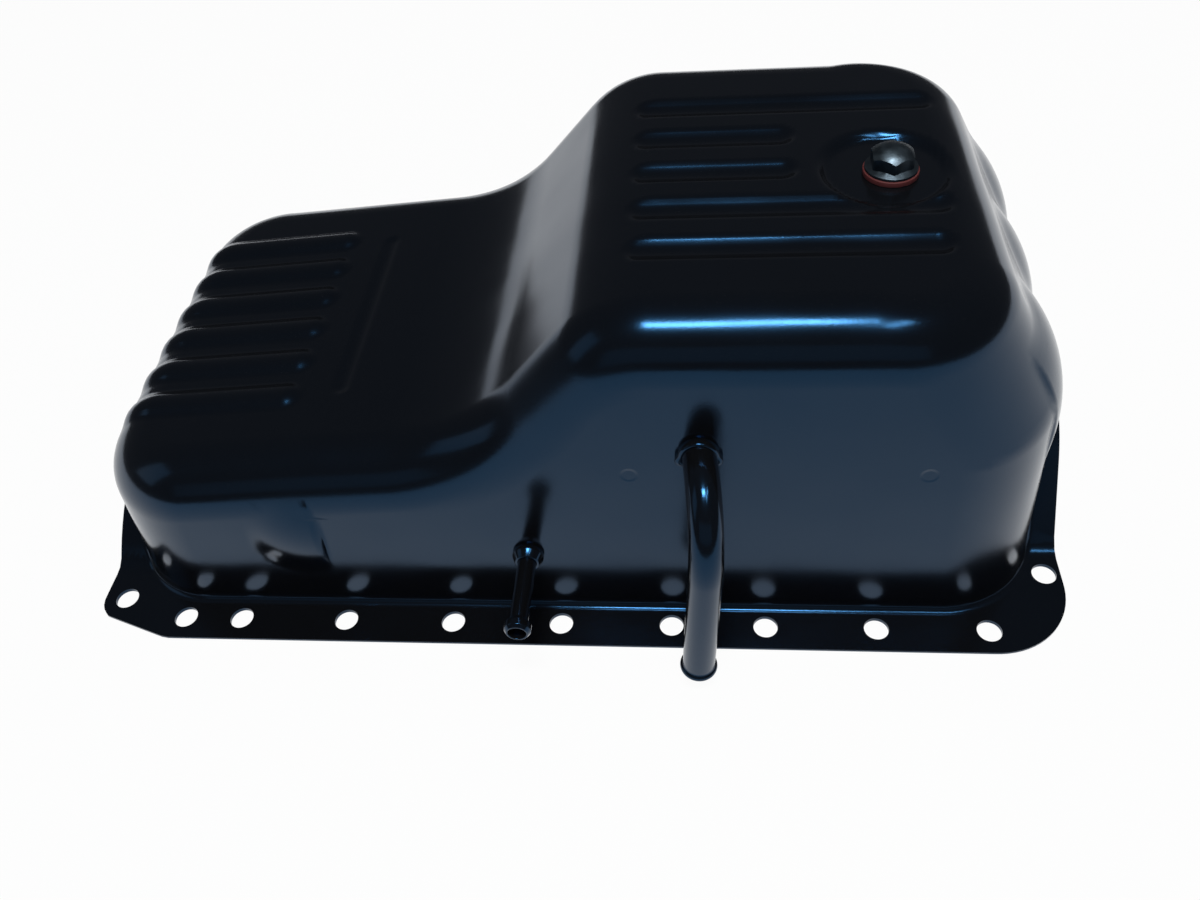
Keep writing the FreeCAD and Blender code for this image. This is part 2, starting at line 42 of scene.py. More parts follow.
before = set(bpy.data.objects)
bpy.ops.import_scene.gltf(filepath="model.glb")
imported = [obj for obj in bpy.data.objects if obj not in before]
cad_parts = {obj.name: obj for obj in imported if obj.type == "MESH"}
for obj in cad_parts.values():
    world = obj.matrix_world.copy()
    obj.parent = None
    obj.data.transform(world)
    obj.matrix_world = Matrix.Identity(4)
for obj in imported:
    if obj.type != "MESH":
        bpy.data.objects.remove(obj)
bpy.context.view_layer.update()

# Bolt holes of the flange: the long rows by x, and the pairs at the ends by x and distance from the middle
row_holes = (-0.154, -0.131, -0.0885, -0.046, -0.004, 0.038, 0.073, 0.1135, 0.154)
end_holes = ((-0.182, 0.0934), (0.1788, 0.0761))

# Deep ends of the sump floor's grooves, from the pipes' side to the far side
groove_ends = (0.133, 0.136, 0.086, 0.086, 0.139)

# Spot welds of the baffle's lugs in both long walls
lug_places = (0.0255, 0.124)
lug_level = 0.075

# A length beyond the pan, and the least number that anything is divided by
far = 1.0
tiny = 1e-9

# Spacing of the pressed sheet's grid along the pan
end_step = 0.0010
rib_step = 0.0014
groove_step = 0.0018
recess_step = 0.0016
tray_step = 0.0030
ramp_step = 0.0032

# Spacing across it, between the walls' rounds and in them
across_step = 0.0015
rim_step = 0.0011

# How far the grid stays fine past a rib's end, past another shape, and past a groove's end
rib_fine = 0.009
fine_margin = 0.008
groove_fine = 0.012

# Rows of points round the pan in the rim's round, down the wall, in the bend and over the flange
rim_rows = 12
wall_rows = 37
bend_rows = 7
flange_rows = 8

# Bevel of the flange's sheared edge
flange_bevel = 0.0003

# Sides of the circles of turned and bent pieces
tube_sides = 48
collar_sides = 96
nipple_sides = 56
plug_sides = 96
seal_sides = 64

# Points of the arc at a profile's rounded corner
arc_points = 5

# Share of the tube's wall that the round of its ends takes
lip_share = 0.35

# The middle part of a noise's range, and the depth of the metals' grain
middling = (0.3, 0.7)
grain_depth = 0.0002

# Lamps by name: place, width and height, power
lamps = {
    "key": ((0.05, -0.42, 1.45), (0.42, 0.16), 13.0),
    "key_right": ((0.52, -0.42, 1.40), (0.45, 0.10), 2.5),
    "soft_front": ((0.0, -1.5, 0.8), (2.4, 0.7), 0.8),
    "soft_left": ((-1.4, -0.4, 0.8), (0.6, 0.8), 0.6),
}
lamp_aim = (0.0, 0.0, 0.06)
lamp_tint = (0.93, 0.98, 1.0)


def length(name, description, default):
    """A length in metres."""
    return FloatProperty(name=name, description=description, default=default, unit="LENGTH", precision=5)


def angle(name, description, degrees):
    """An angle, given in degrees."""
    return FloatProperty(name=name, description=description, default=math.radians(degrees), unit="ROTATION")


def share(name, description, default):
    """A plain number from 0 to 1."""
    return FloatProperty(name=name, description=description, default=default, min=0.0, max=1.0,
                         subtype="FACTOR")


def plain_number(name, description, default):
    """A plain number."""
    return FloatProperty(name=name, description=description, default=default)


def colour(name, description, default):
    """A colour in linear red, green and blue."""
    return FloatVectorProperty(name=name, description=description, default=default, size=3, min=0.0, max=1.0,
                               subtype="COLOR")


class PressingSizes(bpy.types.PropertyGroup):
    """Sizes of the pressed sheet."""
    sheet: length("Sheet", "Thickness of the sheet", 0.0015)
    bend_radius: length("Bend radius", "Outer radius of the bend between walls and flange", 0.003)
    row_half_width: length("Bolt row", "Distance of each bolt row from the middle", 0.1017)
    wall_to_row: length("Wall to row", "Distance from the wall's foot to its bolt row", 0.009)
    bolt_hole: length("Bolt hole", "Diameter of the bolt holes", 0.009)
    edge_distance: length("Edge distance", "Distance from the bolt rows to the flange's edge", 0.009)
    flange_left: length("Flange left", "Place of the flange's left edge", -0.1915)
    flange_right: length("Flange right", "Place of the flange's right edge", 0.185)
    tab_half_width: length("Tab half width", "Half width of the flange at its left edge", 0.100)
    tab_taper_end: length("Taper end", "Where the flange's taper ends", -0.160)
    tab_radius: length("Tab radius", "Corner radius of the flange's left tabs", 0.0095)
    tab_taper_radius: length("Taper radius", "Radius where the taper starts", 0.014)
    flange_corner_radius: length("Flange corner", "Corner radius of the flange's right end", 0.030)
    side_draft: angle("Side draft", "Lean of the long walls", 1.5)
    corner_radius: length("Corner radius", "Upright corners of the body", 0.038)
    rim_radius: length("Rim radius", "Round between the walls and the floors", 0.022)
    left_base: length("Left wall", "Foot of the left wall", -0.184)
    left_lean: angle("Left lean", "Lean of the left wall", 4.0)
    tray_height: length("Tray height", "Height of the tray at its left end", 0.066)
    tray_slope: angle("Tray slope", "Slope of the tray's floor", 4.6)
    ramp_foot: length("Ramp foot", "Where the ramp's line meets the tray's line", -0.0346)
    ramp_angle: angle("Ramp angle", "Slope of the ramp up to the sump", 48.2)
    foot_radius: length("Foot radius", "Hollow round at the ramp's foot", 0.070)
    top_radius: length("Top radius", "Round at the ramp's top", 0.040)
    sump_depth: length("Sump depth", "Height of the sump's floor over the gasket plane", 0.135)
    end_top: length("End top", "Top of the deep end's wall before its round", 0.144)
    end_bend: length("End bend", "Place of the bend in the deep end's wall", 0.1705)
    end_bend_height: length("End bend height", "Height of that bend", 0.086)
    end_bend_radius: length("End bend radius", "Radius of that bend", 0.030)
    right_base: length("Right wall", "Foot of the deep end's wall", 0.175)
    left_arch_foot: length("Left arch", "Half width of the left arch at its foot", 0.077)
    left_arch_angle: angle("Left arch slope", "Slope of the left arch's sides", 44.0)
    left_arch_rise: length("Left arch rise", "Height of the left arch", 0.029)
    left_arch_crest: length("Left arch crest", "Radius of the left arch's crest", 0.088)
    right_arch_foot: length("Right arch", "Half width of the right arch at its foot", 0.064)
    right_arch_angle: angle("Right arch slope", "Slope of the right arch's sides", 56.0)
    right_arch_rise: length("Right arch rise", "Height of the right arch", 0.052)
    right_arch_crest: length("Right arch crest", "Radius of the right arch's crest", 0.050)
    arch_foot_radius: length("Arch foot", "Hollow round at the arches' feet", 0.010)
    hole_sides: IntProperty(name="Hole sides", description="Sides of a bolt hole's circle", default=48,
                            min=12)


class PressedShapeSizes(bpy.types.PropertyGroup):
    """Sizes of the grooves, ribs, bulges and recess pressed into the sheet."""
    groove_radius: length("Groove radius", "Radius of the sump floor's grooves", 0.008)
    groove_depth: length("Groove depth", "Depth of the sump floor's grooves", 0.0026)
    groove_pitch: length("Groove pitch", "Distance from groove to groove", 0.0223)
    groove_start: length("Groove start", "Where the grooves start on the ramp's top", 0.022)
    recess: length("Recess", "Place of the plug's recess", 0.114)
    recess_radius: length("Recess radius", "Radius of the plug's recess at its rim", 0.0235)
    recess_depth: length("Recess depth", "Depth of the plug's recess", 0.0031)
    rib_count: IntProperty(name="Ribs", description="Number of ribs in the tray", default=6, min=1)
    rib_radius: length("Rib radius", "Radius of the ribs", 0.009)
    rib_height: length("Rib height", "Height of the ribs over the tray", 0.0026)
    rib_pitch: length("Rib pitch", "Distance from rib to rib", 0.0196)
    rib_end: length("Rib end", "Where the ribs end", -0.099)
    rib_curl: length("Rib curl", "Radius of the ribs' bend down the left wall", 0.011)
    cross: length("Cross groove", "Place of the groove across the tray", -0.086)
    cross_half_length: length("Cross groove half length", "Half length of the cross groove", 0.050)
    cross_radius: length("Cross groove radius", "Radius of the cross groove", 0.004)
    cross_depth: length("Cross groove depth", "Depth of the cross groove", 0.001)
    bulge_pitch: length("Bulge pitch", "Distance from bulge to bulge in the deep end", 0.048)
    bulge_half_width: length("Bulge half width", "Half width of a bulge", 0.023)
    bulge_height: length("Bulge height", "Height of a bulge over the wall's bend", 0.0024)
    bulge_sagitta: length("Bulge sagitta", "How far a bulge falls off at its sides", 0.0052)
    bulge_crest: length("Bulge crest", "Radius of a bulge's crest, seen from the side", 0.060)
    bulge_turn: angle("Bulge turn", "Turn of the outer bulges", 3.0)
    pad: length("Pad", "Place of the relief pad in the front wall", -0.100)
    pad_level: length("Pad level", "Height of the relief pad's middle", 0.038)
    pad_radius: length("Pad radius", "Radius of the relief pad", 0.017)
    pad_height: length("Pad height", "How far the relief pad stands out", 0.003)
    pad_back: length("Pad back", "How far the relief pad reaches into the wall", 0.0015)
    pad_step: length("Pad step", "Where the relief pad ends in a step", -0.0905)
    pad_edge: length("Pad edge", "Roundness of the relief pad's edge inside the wall", 0.0001)
    lip: length("Lip", "Softness of the pressed shapes' edges", 0.0013)
    step_lip: length("Step lip", "Softness of the relief pad's step", 0.0026)


class PipeSizes(bpy.types.PropertyGroup):
    """Sizes of the return tube, the hose nipple and their collars."""
    tube_diameter: length("Tube", "Outer diameter of the return tube", 0.0116)
    tube_wall: length("Tube wall", "Wall of the return tube", 0.0012)
    tube_place: length("Tube place", "Where the tube leaves the front wall", 0.049)
    tube_level: length("Tube level", "Height at which the tube leaves the wall", 0.086)
    tube_inside: length("Tube inside", "How far the tube reaches inside", 0.005)
    tube_reach: length("Tube reach", "How far the tube stands out", 0.031)
    tube_elbow: length("Tube elbow", "Place of the tube's elbow", 0.0523)
    tube_bend: length("Tube bend", "Radius of the tube's bend", 0.026)
    tube_end: length("Tube end", "Place of the tube's lower end", 0.0482)
    tube_end_level: length("Tube end level", "Height of the tube's lower end", 0.0055)
    tube_bead: length("Tube bead", "Height of the bead round the tube's end", 0.0009)
    tube_bead_width: length("Tube bead width", "Width of that bead", 0.0024)
    tube_bead_inset: length("Tube bead inset", "Distance of that bead from the end", 0.0006)
    collar_diameter: length("Collar", "Diameter of the tube's collar", 0.0136)
    collar_thickness: length("Collar thickness", "Thickness of the tube's collar", 0.003)
    ear_radius: length("Ear radius", "Radius of the collar's ears", 0.0018)
    ear_offset: length("Ear offset", "Distance of the ears from the tube's middle", 0.0062)
    ear_drop: length("Ear drop", "How far the ears sit below the middle", 0.0016)
    nipple_place: length("Nipple place", "Where the nipple leaves the front wall", -0.014)
    nipple_level: length("Nipple level", "Height at which it leaves the wall", 0.032)
    nipple_diameter: length("Nipple", "Outer diameter of the nipple", 0.0068)
    nipple_wall: length("Nipple wall", "Wall of the nipple", 0.0011)
    nipple_length: length("Nipple length", "How far the nipple stands out", 0.034)
    nipple_inside: length("Nipple inside", "How far the nipple reaches inside", 0.004)
    nipple_bead: length("Nipple bead", "Diameter of the nipple's bead", 0.0096)
    nipple_bead_length: length("Nipple bead length", "Length of the nipple's bead", 0.005)
    nipple_mouth: length("Nipple mouth", "Bore at the nipple's mouth", 0.0066)
    nipple_collar: length("Nipple collar", "Diameter of the nipple's boss", 0.0116)
    nipple_collar_rim: length("Nipple collar rim", "Straight part of that boss", 0.0016)
    nipple_collar_length: length("Nipple collar length", "Height of that boss", 0.0045)
    nipple_collar_top: length("Nipple collar top", "Diameter of that boss at its top", 0.0088)


class PlugSizes(bpy.types.PropertyGroup):
    """Sizes of the drain plug and its seal."""
    place: length("Plug place", "Place of the drain plug", 0.116)
    thread: length("Thread", "Diameter of the plug's thread", 0.012)
    thread_pitch: length("Thread pitch", "Pitch of the plug's thread", 0.00125)
    thread_depth: length("Thread depth", "Depth of the plug's thread", 0.0006)
    hole_clearance: length("Hole clearance", "Gap between the thread and the sheet's hole", 0.0005)
    washer_diameter: length("Washer", "Outer diameter of the seal", 0.0195)
    washer_thickness: length("Washer thickness", "Thickness of the seal", 0.002)
    washer_clearance: length("Washer clearance", "Gap between the seal and the thread", 0.0002)
    flange_diameter: length("Plug flange", "Diameter of the plug's flange", 0.0185)
    flange_thickness: length("Plug flange thickness", "Thickness of the plug's flange", 0.002)
    boss_height: length("Boss height", "Height of the threaded boss", 0.008)
    tip: length("Tip", "How far the plug reaches past the boss", 0.004)
    tip_chamfer: length("Tip chamfer", "Chamfer of the plug's tip", 0.001)
    hex_width: length("Hexagon", "Hexagon across its flats", 0.014)
    hex_height: length("Hexagon height", "Height of the hexagon", 0.007)
    hex_dome: length("Hexagon dome", "Radius of the dome on the hexagon", 0.011)
    edge: length("Edge", "Roundness of the turned edges", 0.0003)


class FinishLook(bpy.types.PropertyGroup):
    """Colours and finish of the paint and the metals."""
    paint: colour("Paint", "Black paint", (0.0045, 0.0045, 0.0050))
    paint_sheen: colour("Paint sheen", "Tint of the paint's mirror image", (0.13, 0.47, 1.0))
    paint_roughness: share("Paint roughness", "Roughness of the paint", 0.16)
    paint_gloss: share("Paint gloss", "Strength of the paint's mirror image", 0.62)
    plug_metal: colour("Plug metal", "Dark zinc-plated steel", (0.11, 0.14, 0.165))
    seal: colour("Seal", "Red fibre", (0.16, 0.030, 0.028))
    steel: colour("Steel", "Bare sheet steel", (0.36, 0.36, 0.35))


class StageLook(bpy.types.PropertyGroup):
    """Camera, lamps and floor."""
    camera_place: FloatVectorProperty(name="Camera", description="Place of the camera", size=3,
                                      default=(0.05229, -0.31906, 0.33876), subtype="TRANSLATION")
    camera_ahead: FloatVectorProperty(name="Ahead", description="Direction that the camera looks in", size=3,
                                      default=(-0.10403, 0.70387, -0.70267), subtype="DIRECTION")
    camera_up: FloatVectorProperty(name="Up", description="Direction of the picture's upper edge", size=3,
                                   default=(0.00528, 0.70688, 0.70731), subtype="DIRECTION")
    camera_lens: plain_number("Lens", "Focal length in millimetres on a 36 mm sensor", 31.1406)
    camera_shift: plain_number("Shift", "Upward shift, in picture widths", -0.0417)
    floor_size: length("Floor size", "Width of the floor", 6.0)
    floor_gap: length("Floor gap", "How far the floor lies under the gasket plane", 0.0004)
    floor_colour: colour("Floor", "Pale floor", (0.80, 0.80, 0.80))
    floor_glow: share("Floor glow", "How much of the floor's brightness is its own white", 0.96)
    world_colour: colour("World", "Room round the object", (0.058, 0.060, 0.066))


class PaintDetail(bpy.types.PropertyGroup):
    """Fine detail of the paint and the pressing's surface."""
    peel: share("Peel", "Strength of the paint's fine waviness", 0.03)
    peel_scale: plain_number("Peel scale", "Fine waves to the metre", 900.0)
    peel_depth: length("Peel depth", "Depth of the fine waviness", 0.0004)
    wave: share("Wave", "Strength of the drawn sheet's slow waviness", 0.13)
    wave_scale: plain_number("Wave scale", "Slow waves to the metre", 22.0)
    wave_depth: length("Wave depth", "Depth of the slow waviness", 0.004)
    speck: share("Specks", "How much the fine dust shows", 0.5)
    speck_scale: plain_number("Speck scale", "Specks to the metre", 2600.0)
    speck_light: share("Speck light", "How much paler than the paint a speck is", 0.02)
    cloud_scale: plain_number("Cloud scale", "Clouds of duller and glossier paint to the metre", 16.0)
    weld_radius: length("Weld radius", "Radius of the spot welds' marks", 0.0032)
    weld_depth: length("Weld depth", "Depth of the spot welds' marks", 0.0003)


# Distance fields: every function below returns the signed distance to a shape, negative inside, and its
# gradient, for points given as an array of rows (x, y, z).


def chain_parts(points, radii):
    """Straight runs and tangent arcs of an open chain of corners, with the solid on the right of travel."""
    points = np.asarray(points, float)
    steps = np.diff(points, axis=0)
    sizes = np.hypot(steps[:, 0], steps[:, 1])
    ways = steps / sizes[:, None]
    trims = np.zeros(len(points))
    arcs = []
    for i in range(1, len(points) - 1):
        cross = ways[i - 1, 0] * ways[i, 1] - ways[i - 1, 1] * ways[i, 0]
        turn = math.atan2(abs(cross), float(ways[i - 1] @ ways[i]))
        trims[i] = radii[i] * math.tan(turn / 2)
        left = np.array([-ways[i - 1, 1], ways[i - 1, 0]])
        centre = points[i] - ways[i - 1] * trims[i] + left * math.copysign(radii[i], cross)
        arcs.append((centre, radii[i], math.copysign(1.0, cross), ways[i - 1], ways[i]))
    runs = []
    for i in range(len(steps)):
        low = -far if i == 0 else trims[i]
        high = sizes[i] + far if i == len(steps) - 1 else sizes[i] - trims[i + 1]
        runs.append((points[i], ways[i], low, high))
    return runs, arcs


def chain_field(parts, a, b):
    """Signed distance and gradient to a chain of runs and arcs in the plane of a and b: the nearest run
    or arc that the point lies square to."""
    runs, arcs = parts
    best = np.full(a.shape, far)
    value = np.full(a.shape, -far)
    slope_a = np.zeros(a.shape)
    slope_b = np.ones(a.shape)
    for start, way, low, high in runs:
        da, db = a - start[0], b - start[1]
        along = da * way[0] + db * way[1]
        away = db * way[0] - da * way[1]
        take = (along >= low) & (along <= high) & (np.abs(away) < best)
        best = np.where(take, np.abs(away), best)
        value = np.where(take, away, value)
        slope_a = np.where(take, -way[1], slope_a)
        slope_b = np.where(take, way[0], slope_b)
    for centre, radius, side, before, after in arcs:
        da, db = a - centre[0], b - centre[1]
        size = np.maximum(np.hypot(da, db), tiny)
        away = side * (radius - size)
        square = (da * before[0] + db * before[1] >= 0) & (da * after[0] + db * after[1] <= 0)
        take = square & (np.abs(away) < best)
        best = np.where(take, np.abs(away), best)
        value = np.where(take, away, value)
        slope_a = np.where(take, -side * da / size, slope_a)
        slope_b = np.where(take, -side * db / size, slope_b)
    return value, slope_a, slope_b


def chain_height(parts, a):
    """Height of a chain over a: the runs' lines and the arcs' circles between their ends."""
    runs, arcs = parts
    height = np.zeros(a.shape)
    for start, way, low, high in runs:
        first, last = sorted((start[0] + way[0] * low, start[0] + way[0] * high))
        take = (a >= first) & (a <= last)
        height = np.where(take, start[1] + (a - start[0]) * way[1] / way[0], height)
    for centre, radius, side, before, after in arcs:
        first = centre[0] + side * radius * before[1]
        last = centre[0] + side * radius * after[1]
        take = (a > min(first, last)) & (a < max(first, last))
        lift = np.sqrt(np.maximum(radius ** 2 - (a - centre[0]) ** 2, 0))
        height = np.where(take, centre[1] - side * lift, height)
    return height


def upright(value, slope_x, slope_y, slope_z):
    """A field from its value and the three parts of its gradient."""
    return value, np.stack(np.broadcast_arrays(slope_x, slope_y, slope_z), 1)


def round_corner(first, second, radius):
    """Common part of two solids, its outer edge rounded by a rolling ball: where both distances plus the
    radius are positive in the gradients' own slanted axes, the distance to the ball's line of centres."""
    (fa, ga), (fb, gb) = first, second
    steepest = 0.999
    least = 1e-12
    lean = np.clip((ga * gb).sum(1), -steepest, steepest)
    u, v = fa + radius, fb + radius
    alpha = (u - lean * v) / (1 - lean ** 2)
    beta = (v - lean * u) / (1 - lean ** 2)
    size = np.sqrt(np.maximum(u * alpha + v * beta, least))
    inside = (alpha > 0) & (beta > 0)
    flat = np.where((fa > fb)[:, None], ga, gb)
    ball = (alpha[:, None] * ga + beta[:, None] * gb) / size[:, None]
    return np.where(inside, size - radius, np.maximum(fa, fb)), np.where(inside[:, None], ball, flat)


def opposite(field):
    """The space outside a solid."""
    return -field[0], -field[1]


def round_hollow(first, second, radius):
    """Union of two solids, its inner edge rounded by a rolling ball."""
    return opposite(round_corner(opposite(first), opposite(second), radius))


def soft_union(first, second, width):
    """Union of two solids: the smaller distance, less a parabola of the two distances' difference where
    that is under the width."""
    (fa, ga), (fb, gb) = first, second
    mix = np.clip(0.5 + 0.5 * (fb - fa) / width, 0, 1)
    value = fb * (1 - mix) + fa * mix - width * mix * (1 - mix)
    return value, gb * (1 - mix)[:, None] + ga * mix[:, None]


def soft_cut(first, cutter, width):
    """First solid without the cutter, the edge softened over the width."""
    return opposite(soft_union(opposite(first), cutter, width))


def segment_tube(points, start, end, radius):
    """Round bar with ball ends: distance to the straight line from start to end, less the radius."""
    start, end = np.asarray(start, float), np.asarray(end, float)
    way = end - start
    along = np.clip(((points - start) @ way) / (way @ way), 0, 1)
    away = points - start - along[:, None] * way
    size = np.maximum(np.linalg.norm(away, axis=1), tiny)
    return size - radius, away / size[:, None]


class PanForm:
    """The pressing as a distance field, from its two groups of sizes."""

    def __init__(self, pressing, shapes):
        self.p = pressing
        self.s = shapes
        p = pressing
        self.tan_draft = math.tan(p.side_draft)
        self.tan_lean = math.tan(p.left_lean)
        self.foot = p.row_half_width - p.wall_to_row
        self.left_top = p.left_base + self.tan_lean * p.tray_height
        foot_height = self.tray_line(p.ramp_foot)
        ramp_top = p.ramp_foot + (p.sump_depth - foot_height) / math.tan(p.ramp_angle)
        self.top = chain_parts(
            [(self.left_top, self.tray_line(self.left_top)), (p.ramp_foot, foot_height),
             (ramp_top, p.sump_depth), (p.end_top, p.sump_depth)],
            [0, p.foot_radius, p.top_radius, 0])
        self.end = chain_parts(
            [(p.end_top, p.sump_depth), (p.end_bend, p.end_bend_height), (p.right_base, 0)],
            [0, p.end_bend_radius, 0])
        self.arches = [
            self.arch(p.left_arch_foot, p.left_arch_angle, p.left_arch_rise, p.left_arch_crest),
            self.arch(p.right_arch_foot, p.right_arch_angle, p.right_arch_rise, p.right_arch_crest),
        ]

    def arch(self, foot, slope, rise, crest):
        """Chain of one arch's upper face from its middle to the flange."""
        p = self.p
        shift = p.sheet * math.tan(slope / 2)
        run = rise / math.tan(slope)
        points = [(0, rise + p.sheet), (foot - run + shift, rise + p.sheet), (foot + shift, p.sheet),
                  (foot + run + far, p.sheet)]
        return chain_parts(points, [0, crest + p.sheet, p.arch_foot_radius - p.sheet, 0])

    def tray_line(self, x):
        """Height of the tray's floor, straight on from the left wall to the ramp."""
        return self.p.tray_height + math.tan(self.p.tray_slope) * (x - self.p.left_base)

    def half_width(self, z):
        """Half the width between the long walls."""
        return self.foot - self.tan_draft * z

    def left_wall(self, z):
        """Place of the left wall."""
        return self.p.left_base + self.tan_lean * z

    def right_wall(self, z):
        """Place of the deep end's wall, its bend left sharp."""
        p = self.p
        return np.interp(z, [0, p.end_bend_height, p.sump_depth], [p.right_base, p.end_bend, p.end_top])

    def flange_height(self, x, y):
        """Height of the flange's upper face with its arches."""
        left, right = (chain_height(chain, np.abs(y)) for chain in self.arches)
        return np.where(x < 0, left, right)

    def flange(self, points):
        """Everything under the flange's upper face."""
        x, y, z = points.T
        fields = [chain_field(chain, np.abs(y), z) for chain in self.arches]
        value, slope, rise = (np.where(x < 0, first, second) for first, second in zip(*fields))
        return upright(value, np.zeros(len(x)), slope * np.sign(y), rise)

    def body(self, points):
        """Walls, tray, ramp and sump without their pressed shapes."""
        p = self.p
        x, y, z = points.T
        nought = np.zeros(len(x))
        cos_draft, sin_draft = math.cos(p.side_draft), math.sin(p.side_draft)
        side = upright((np.abs(y) - self.half_width(z)) * cos_draft, nought, np.sign(y) * cos_draft,
                       nought + sin_draft)
        cos_lean, sin_lean = math.cos(p.left_lean), math.sin(p.left_lean)
        left = upright((self.left_wall(z) - x) * cos_lean, nought - cos_lean, nought, nought + sin_lean)
        value, slope_x, slope_z = chain_field(self.end, x, z)
        right = upright(value, slope_x, nought, slope_z)
        nearer = x < 0
        ends = (np.where(nearer, left[0], right[0]), np.where(nearer[:, None], left[1], right[1]))
        walls = round_corner(side, ends, p.corner_radius)
        value, slope_x, slope_z = chain_field(self.top, x, z)
        return round_corner(walls, upright(value, slope_x, nought, slope_z), p.rim_radius)

    def ribs(self, points):
        """Ribs of the tray: distance to each rib's centre line, which runs along the tray and then bends
        down the left wall's round, less the rib's radius."""
        p, s = self.p, self.s
        bend = math.pi / 2 - p.left_lean - p.tray_slope
        start = self.left_top + p.rim_radius * math.tan(bend / 2)
        cos_slope, sin_slope = math.cos(p.tray_slope), math.sin(p.tray_slope)
        reach = (s.rib_end - start) / cos_slope - s.rib_radius
        dx, dz = points[:, 0] - start, points[:, 2] - self.tray_line(start)
        along = dx * cos_slope + dz * sin_slope
        level = dz * cos_slope - dx * sin_slope - (s.rib_height - s.rib_radius)
        middle = (s.rib_count - 1) / 2
        place = np.clip(np.rint(points[:, 1] / s.rib_pitch + middle), 0, s.rib_count - 1)
        across = points[:, 1] - (place - middle) * s.rib_pitch
        ring = np.maximum(np.hypot(along, level + s.rib_curl), tiny)
        bent = along < 0
        off_line = np.where(bent, ring - s.rib_curl, level)
        past = np.where(bent, 0, np.maximum(along - reach, 0))
        size = np.maximum(np.sqrt(off_line ** 2 + past ** 2 + across ** 2), tiny)
        way_along = np.where(bent, off_line * along / ring, past) / size
        way_level = np.where(bent, off_line * (level + s.rib_curl) / ring, level) / size
        return upright(size - s.rib_radius, way_along * cos_slope - way_level * sin_slope, across / size,
                       way_along * sin_slope + way_level * cos_slope)

    def bulge(self, points, number):
        """One bulge of the deep end: a ring's outer face, its axis across the pan inside the wall."""
        p, s = self.p, self.s
        upper = math.atan2(p.end_bend - p.end_top, p.sump_depth - p.end_bend_height)
        lower = math.atan2(p.right_base - p.end_bend, p.end_bend_height)
        tilt = (upper + lower) / 2
        arc = (s.bulge_half_width ** 2 + s.bulge_sagitta ** 2) / (2 * s.bulge_sagitta)
        gap = p.end_bend_radius * (1 / math.cos((upper - lower) / 2) - 1)
        reach = s.bulge_height - gap - s.bulge_crest
        turn = number * s.bulge_turn
        cos_turn, sin_turn = math.cos(turn), math.sin(turn)
        dx, dy = points[:, 0] - p.end_bend, points[:, 1] - number * s.bulge_pitch
        ahead = dx * cos_turn + dy * sin_turn - math.cos(tilt) * reach
        across = dy * cos_turn - dx * sin_turn
        height = points[:, 2] - p.end_bend_height - math.sin(tilt) * reach
        ring = np.maximum(np.hypot(ahead, height), tiny)
        off_line = ring - (s.bulge_crest - arc)
        size = np.maximum(np.hypot(off_line, across), tiny)
        way_ahead, way_across = off_line * ahead / ring / size, across / size
        face = upright(size - arc, way_ahead * cos_turn - way_across * sin_turn,
                       way_ahead * sin_turn + way_across * cos_turn, off_line * height / ring / size)
        side = np.sign(across)
        ends = upright(np.abs(across) - s.bulge_half_width, -side * sin_turn, side * cos_turn,
                       np.zeros(len(side)))
        return round_corner(face, ends, s.lip)

    def relief_pad(self, points):
        """Flat ball cap on the front wall, cut off by an upright plane and kept near that wall."""
        s = self.s
        wall = -self.half_width(s.pad_level)
        ball = (s.pad_radius ** 2 + s.pad_height ** 2) / (2 * s.pad_height)
        away = points - (s.pad, wall + ball - s.pad_height, s.pad_level)
        size = np.linalg.norm(away, axis=1)
        nought = np.zeros(len(points))
        step = upright(points[:, 0] - s.pad_step, nought + 1, nought, nought)
        near = upright(points[:, 1] - wall - s.pad_back, nought, nought + 1, nought)
        cap = round_corner((size - ball, away / size[:, None]), step, s.step_lip)
        return round_corner(cap, near, s.pad_edge)

    def plug_recess(self, points):
        """Shallow cup with a flat floor and sides at 45 degrees."""
        p, s = self.p, self.s
        dx, dy = points[:, 0] - s.recess, points[:, 1]
        ring = np.maximum(np.hypot(dx, dy), tiny)
        height = points[:, 2] - p.sump_depth + s.recess_depth
        half = math.sqrt(0.5)
        low = s.recess_radius - s.recess_depth
        cone = upright((ring - low - height) * half, dx / ring * half, dy / ring * half,
                       np.full(len(ring), -half))
        floor = upright(-height, np.zeros(len(ring)), 0.0, -1.0)
        return round_corner(cone, floor, s.step_lip)

    def field(self, points):
        """The pan's outer face: body and flange with a rolling bend, then what is pressed out and in."""
        p, s = self.p, self.s
        form = round_hollow(self.body(points), self.flange(points), p.bend_radius)
        form = soft_union(form, self.ribs(points), s.lip)
        for number in (-1, 0, 1):
            form = soft_union(form, self.bulge(points, number), s.lip)
        form = soft_union(form, self.relief_pad(points), s.lip)
        axis = p.sump_depth - s.groove_depth + s.groove_radius
        for i, end in enumerate(groove_ends):
            y = (i - (len(groove_ends) - 1) / 2) * s.groove_pitch
            start = (s.groove_start + s.groove_radius, y, axis)
            form = soft_cut(form, segment_tube(points, start, (end - s.groove_radius, y, axis),
                                               s.groove_radius), s.lip)
        form = soft_cut(form, self.plug_recess(points), s.lip)
        lift = s.cross_radius - s.cross_depth
        x = s.cross - lift * math.sin(p.tray_slope)
        z = self.tray_line(s.cross) + lift * math.cos(p.tray_slope)
        reach = s.cross_half_length - s.cross_radius
        return soft_cut(form, segment_tube(points, (x, -reach, z), (x, reach, z), s.cross_radius), s.lip)

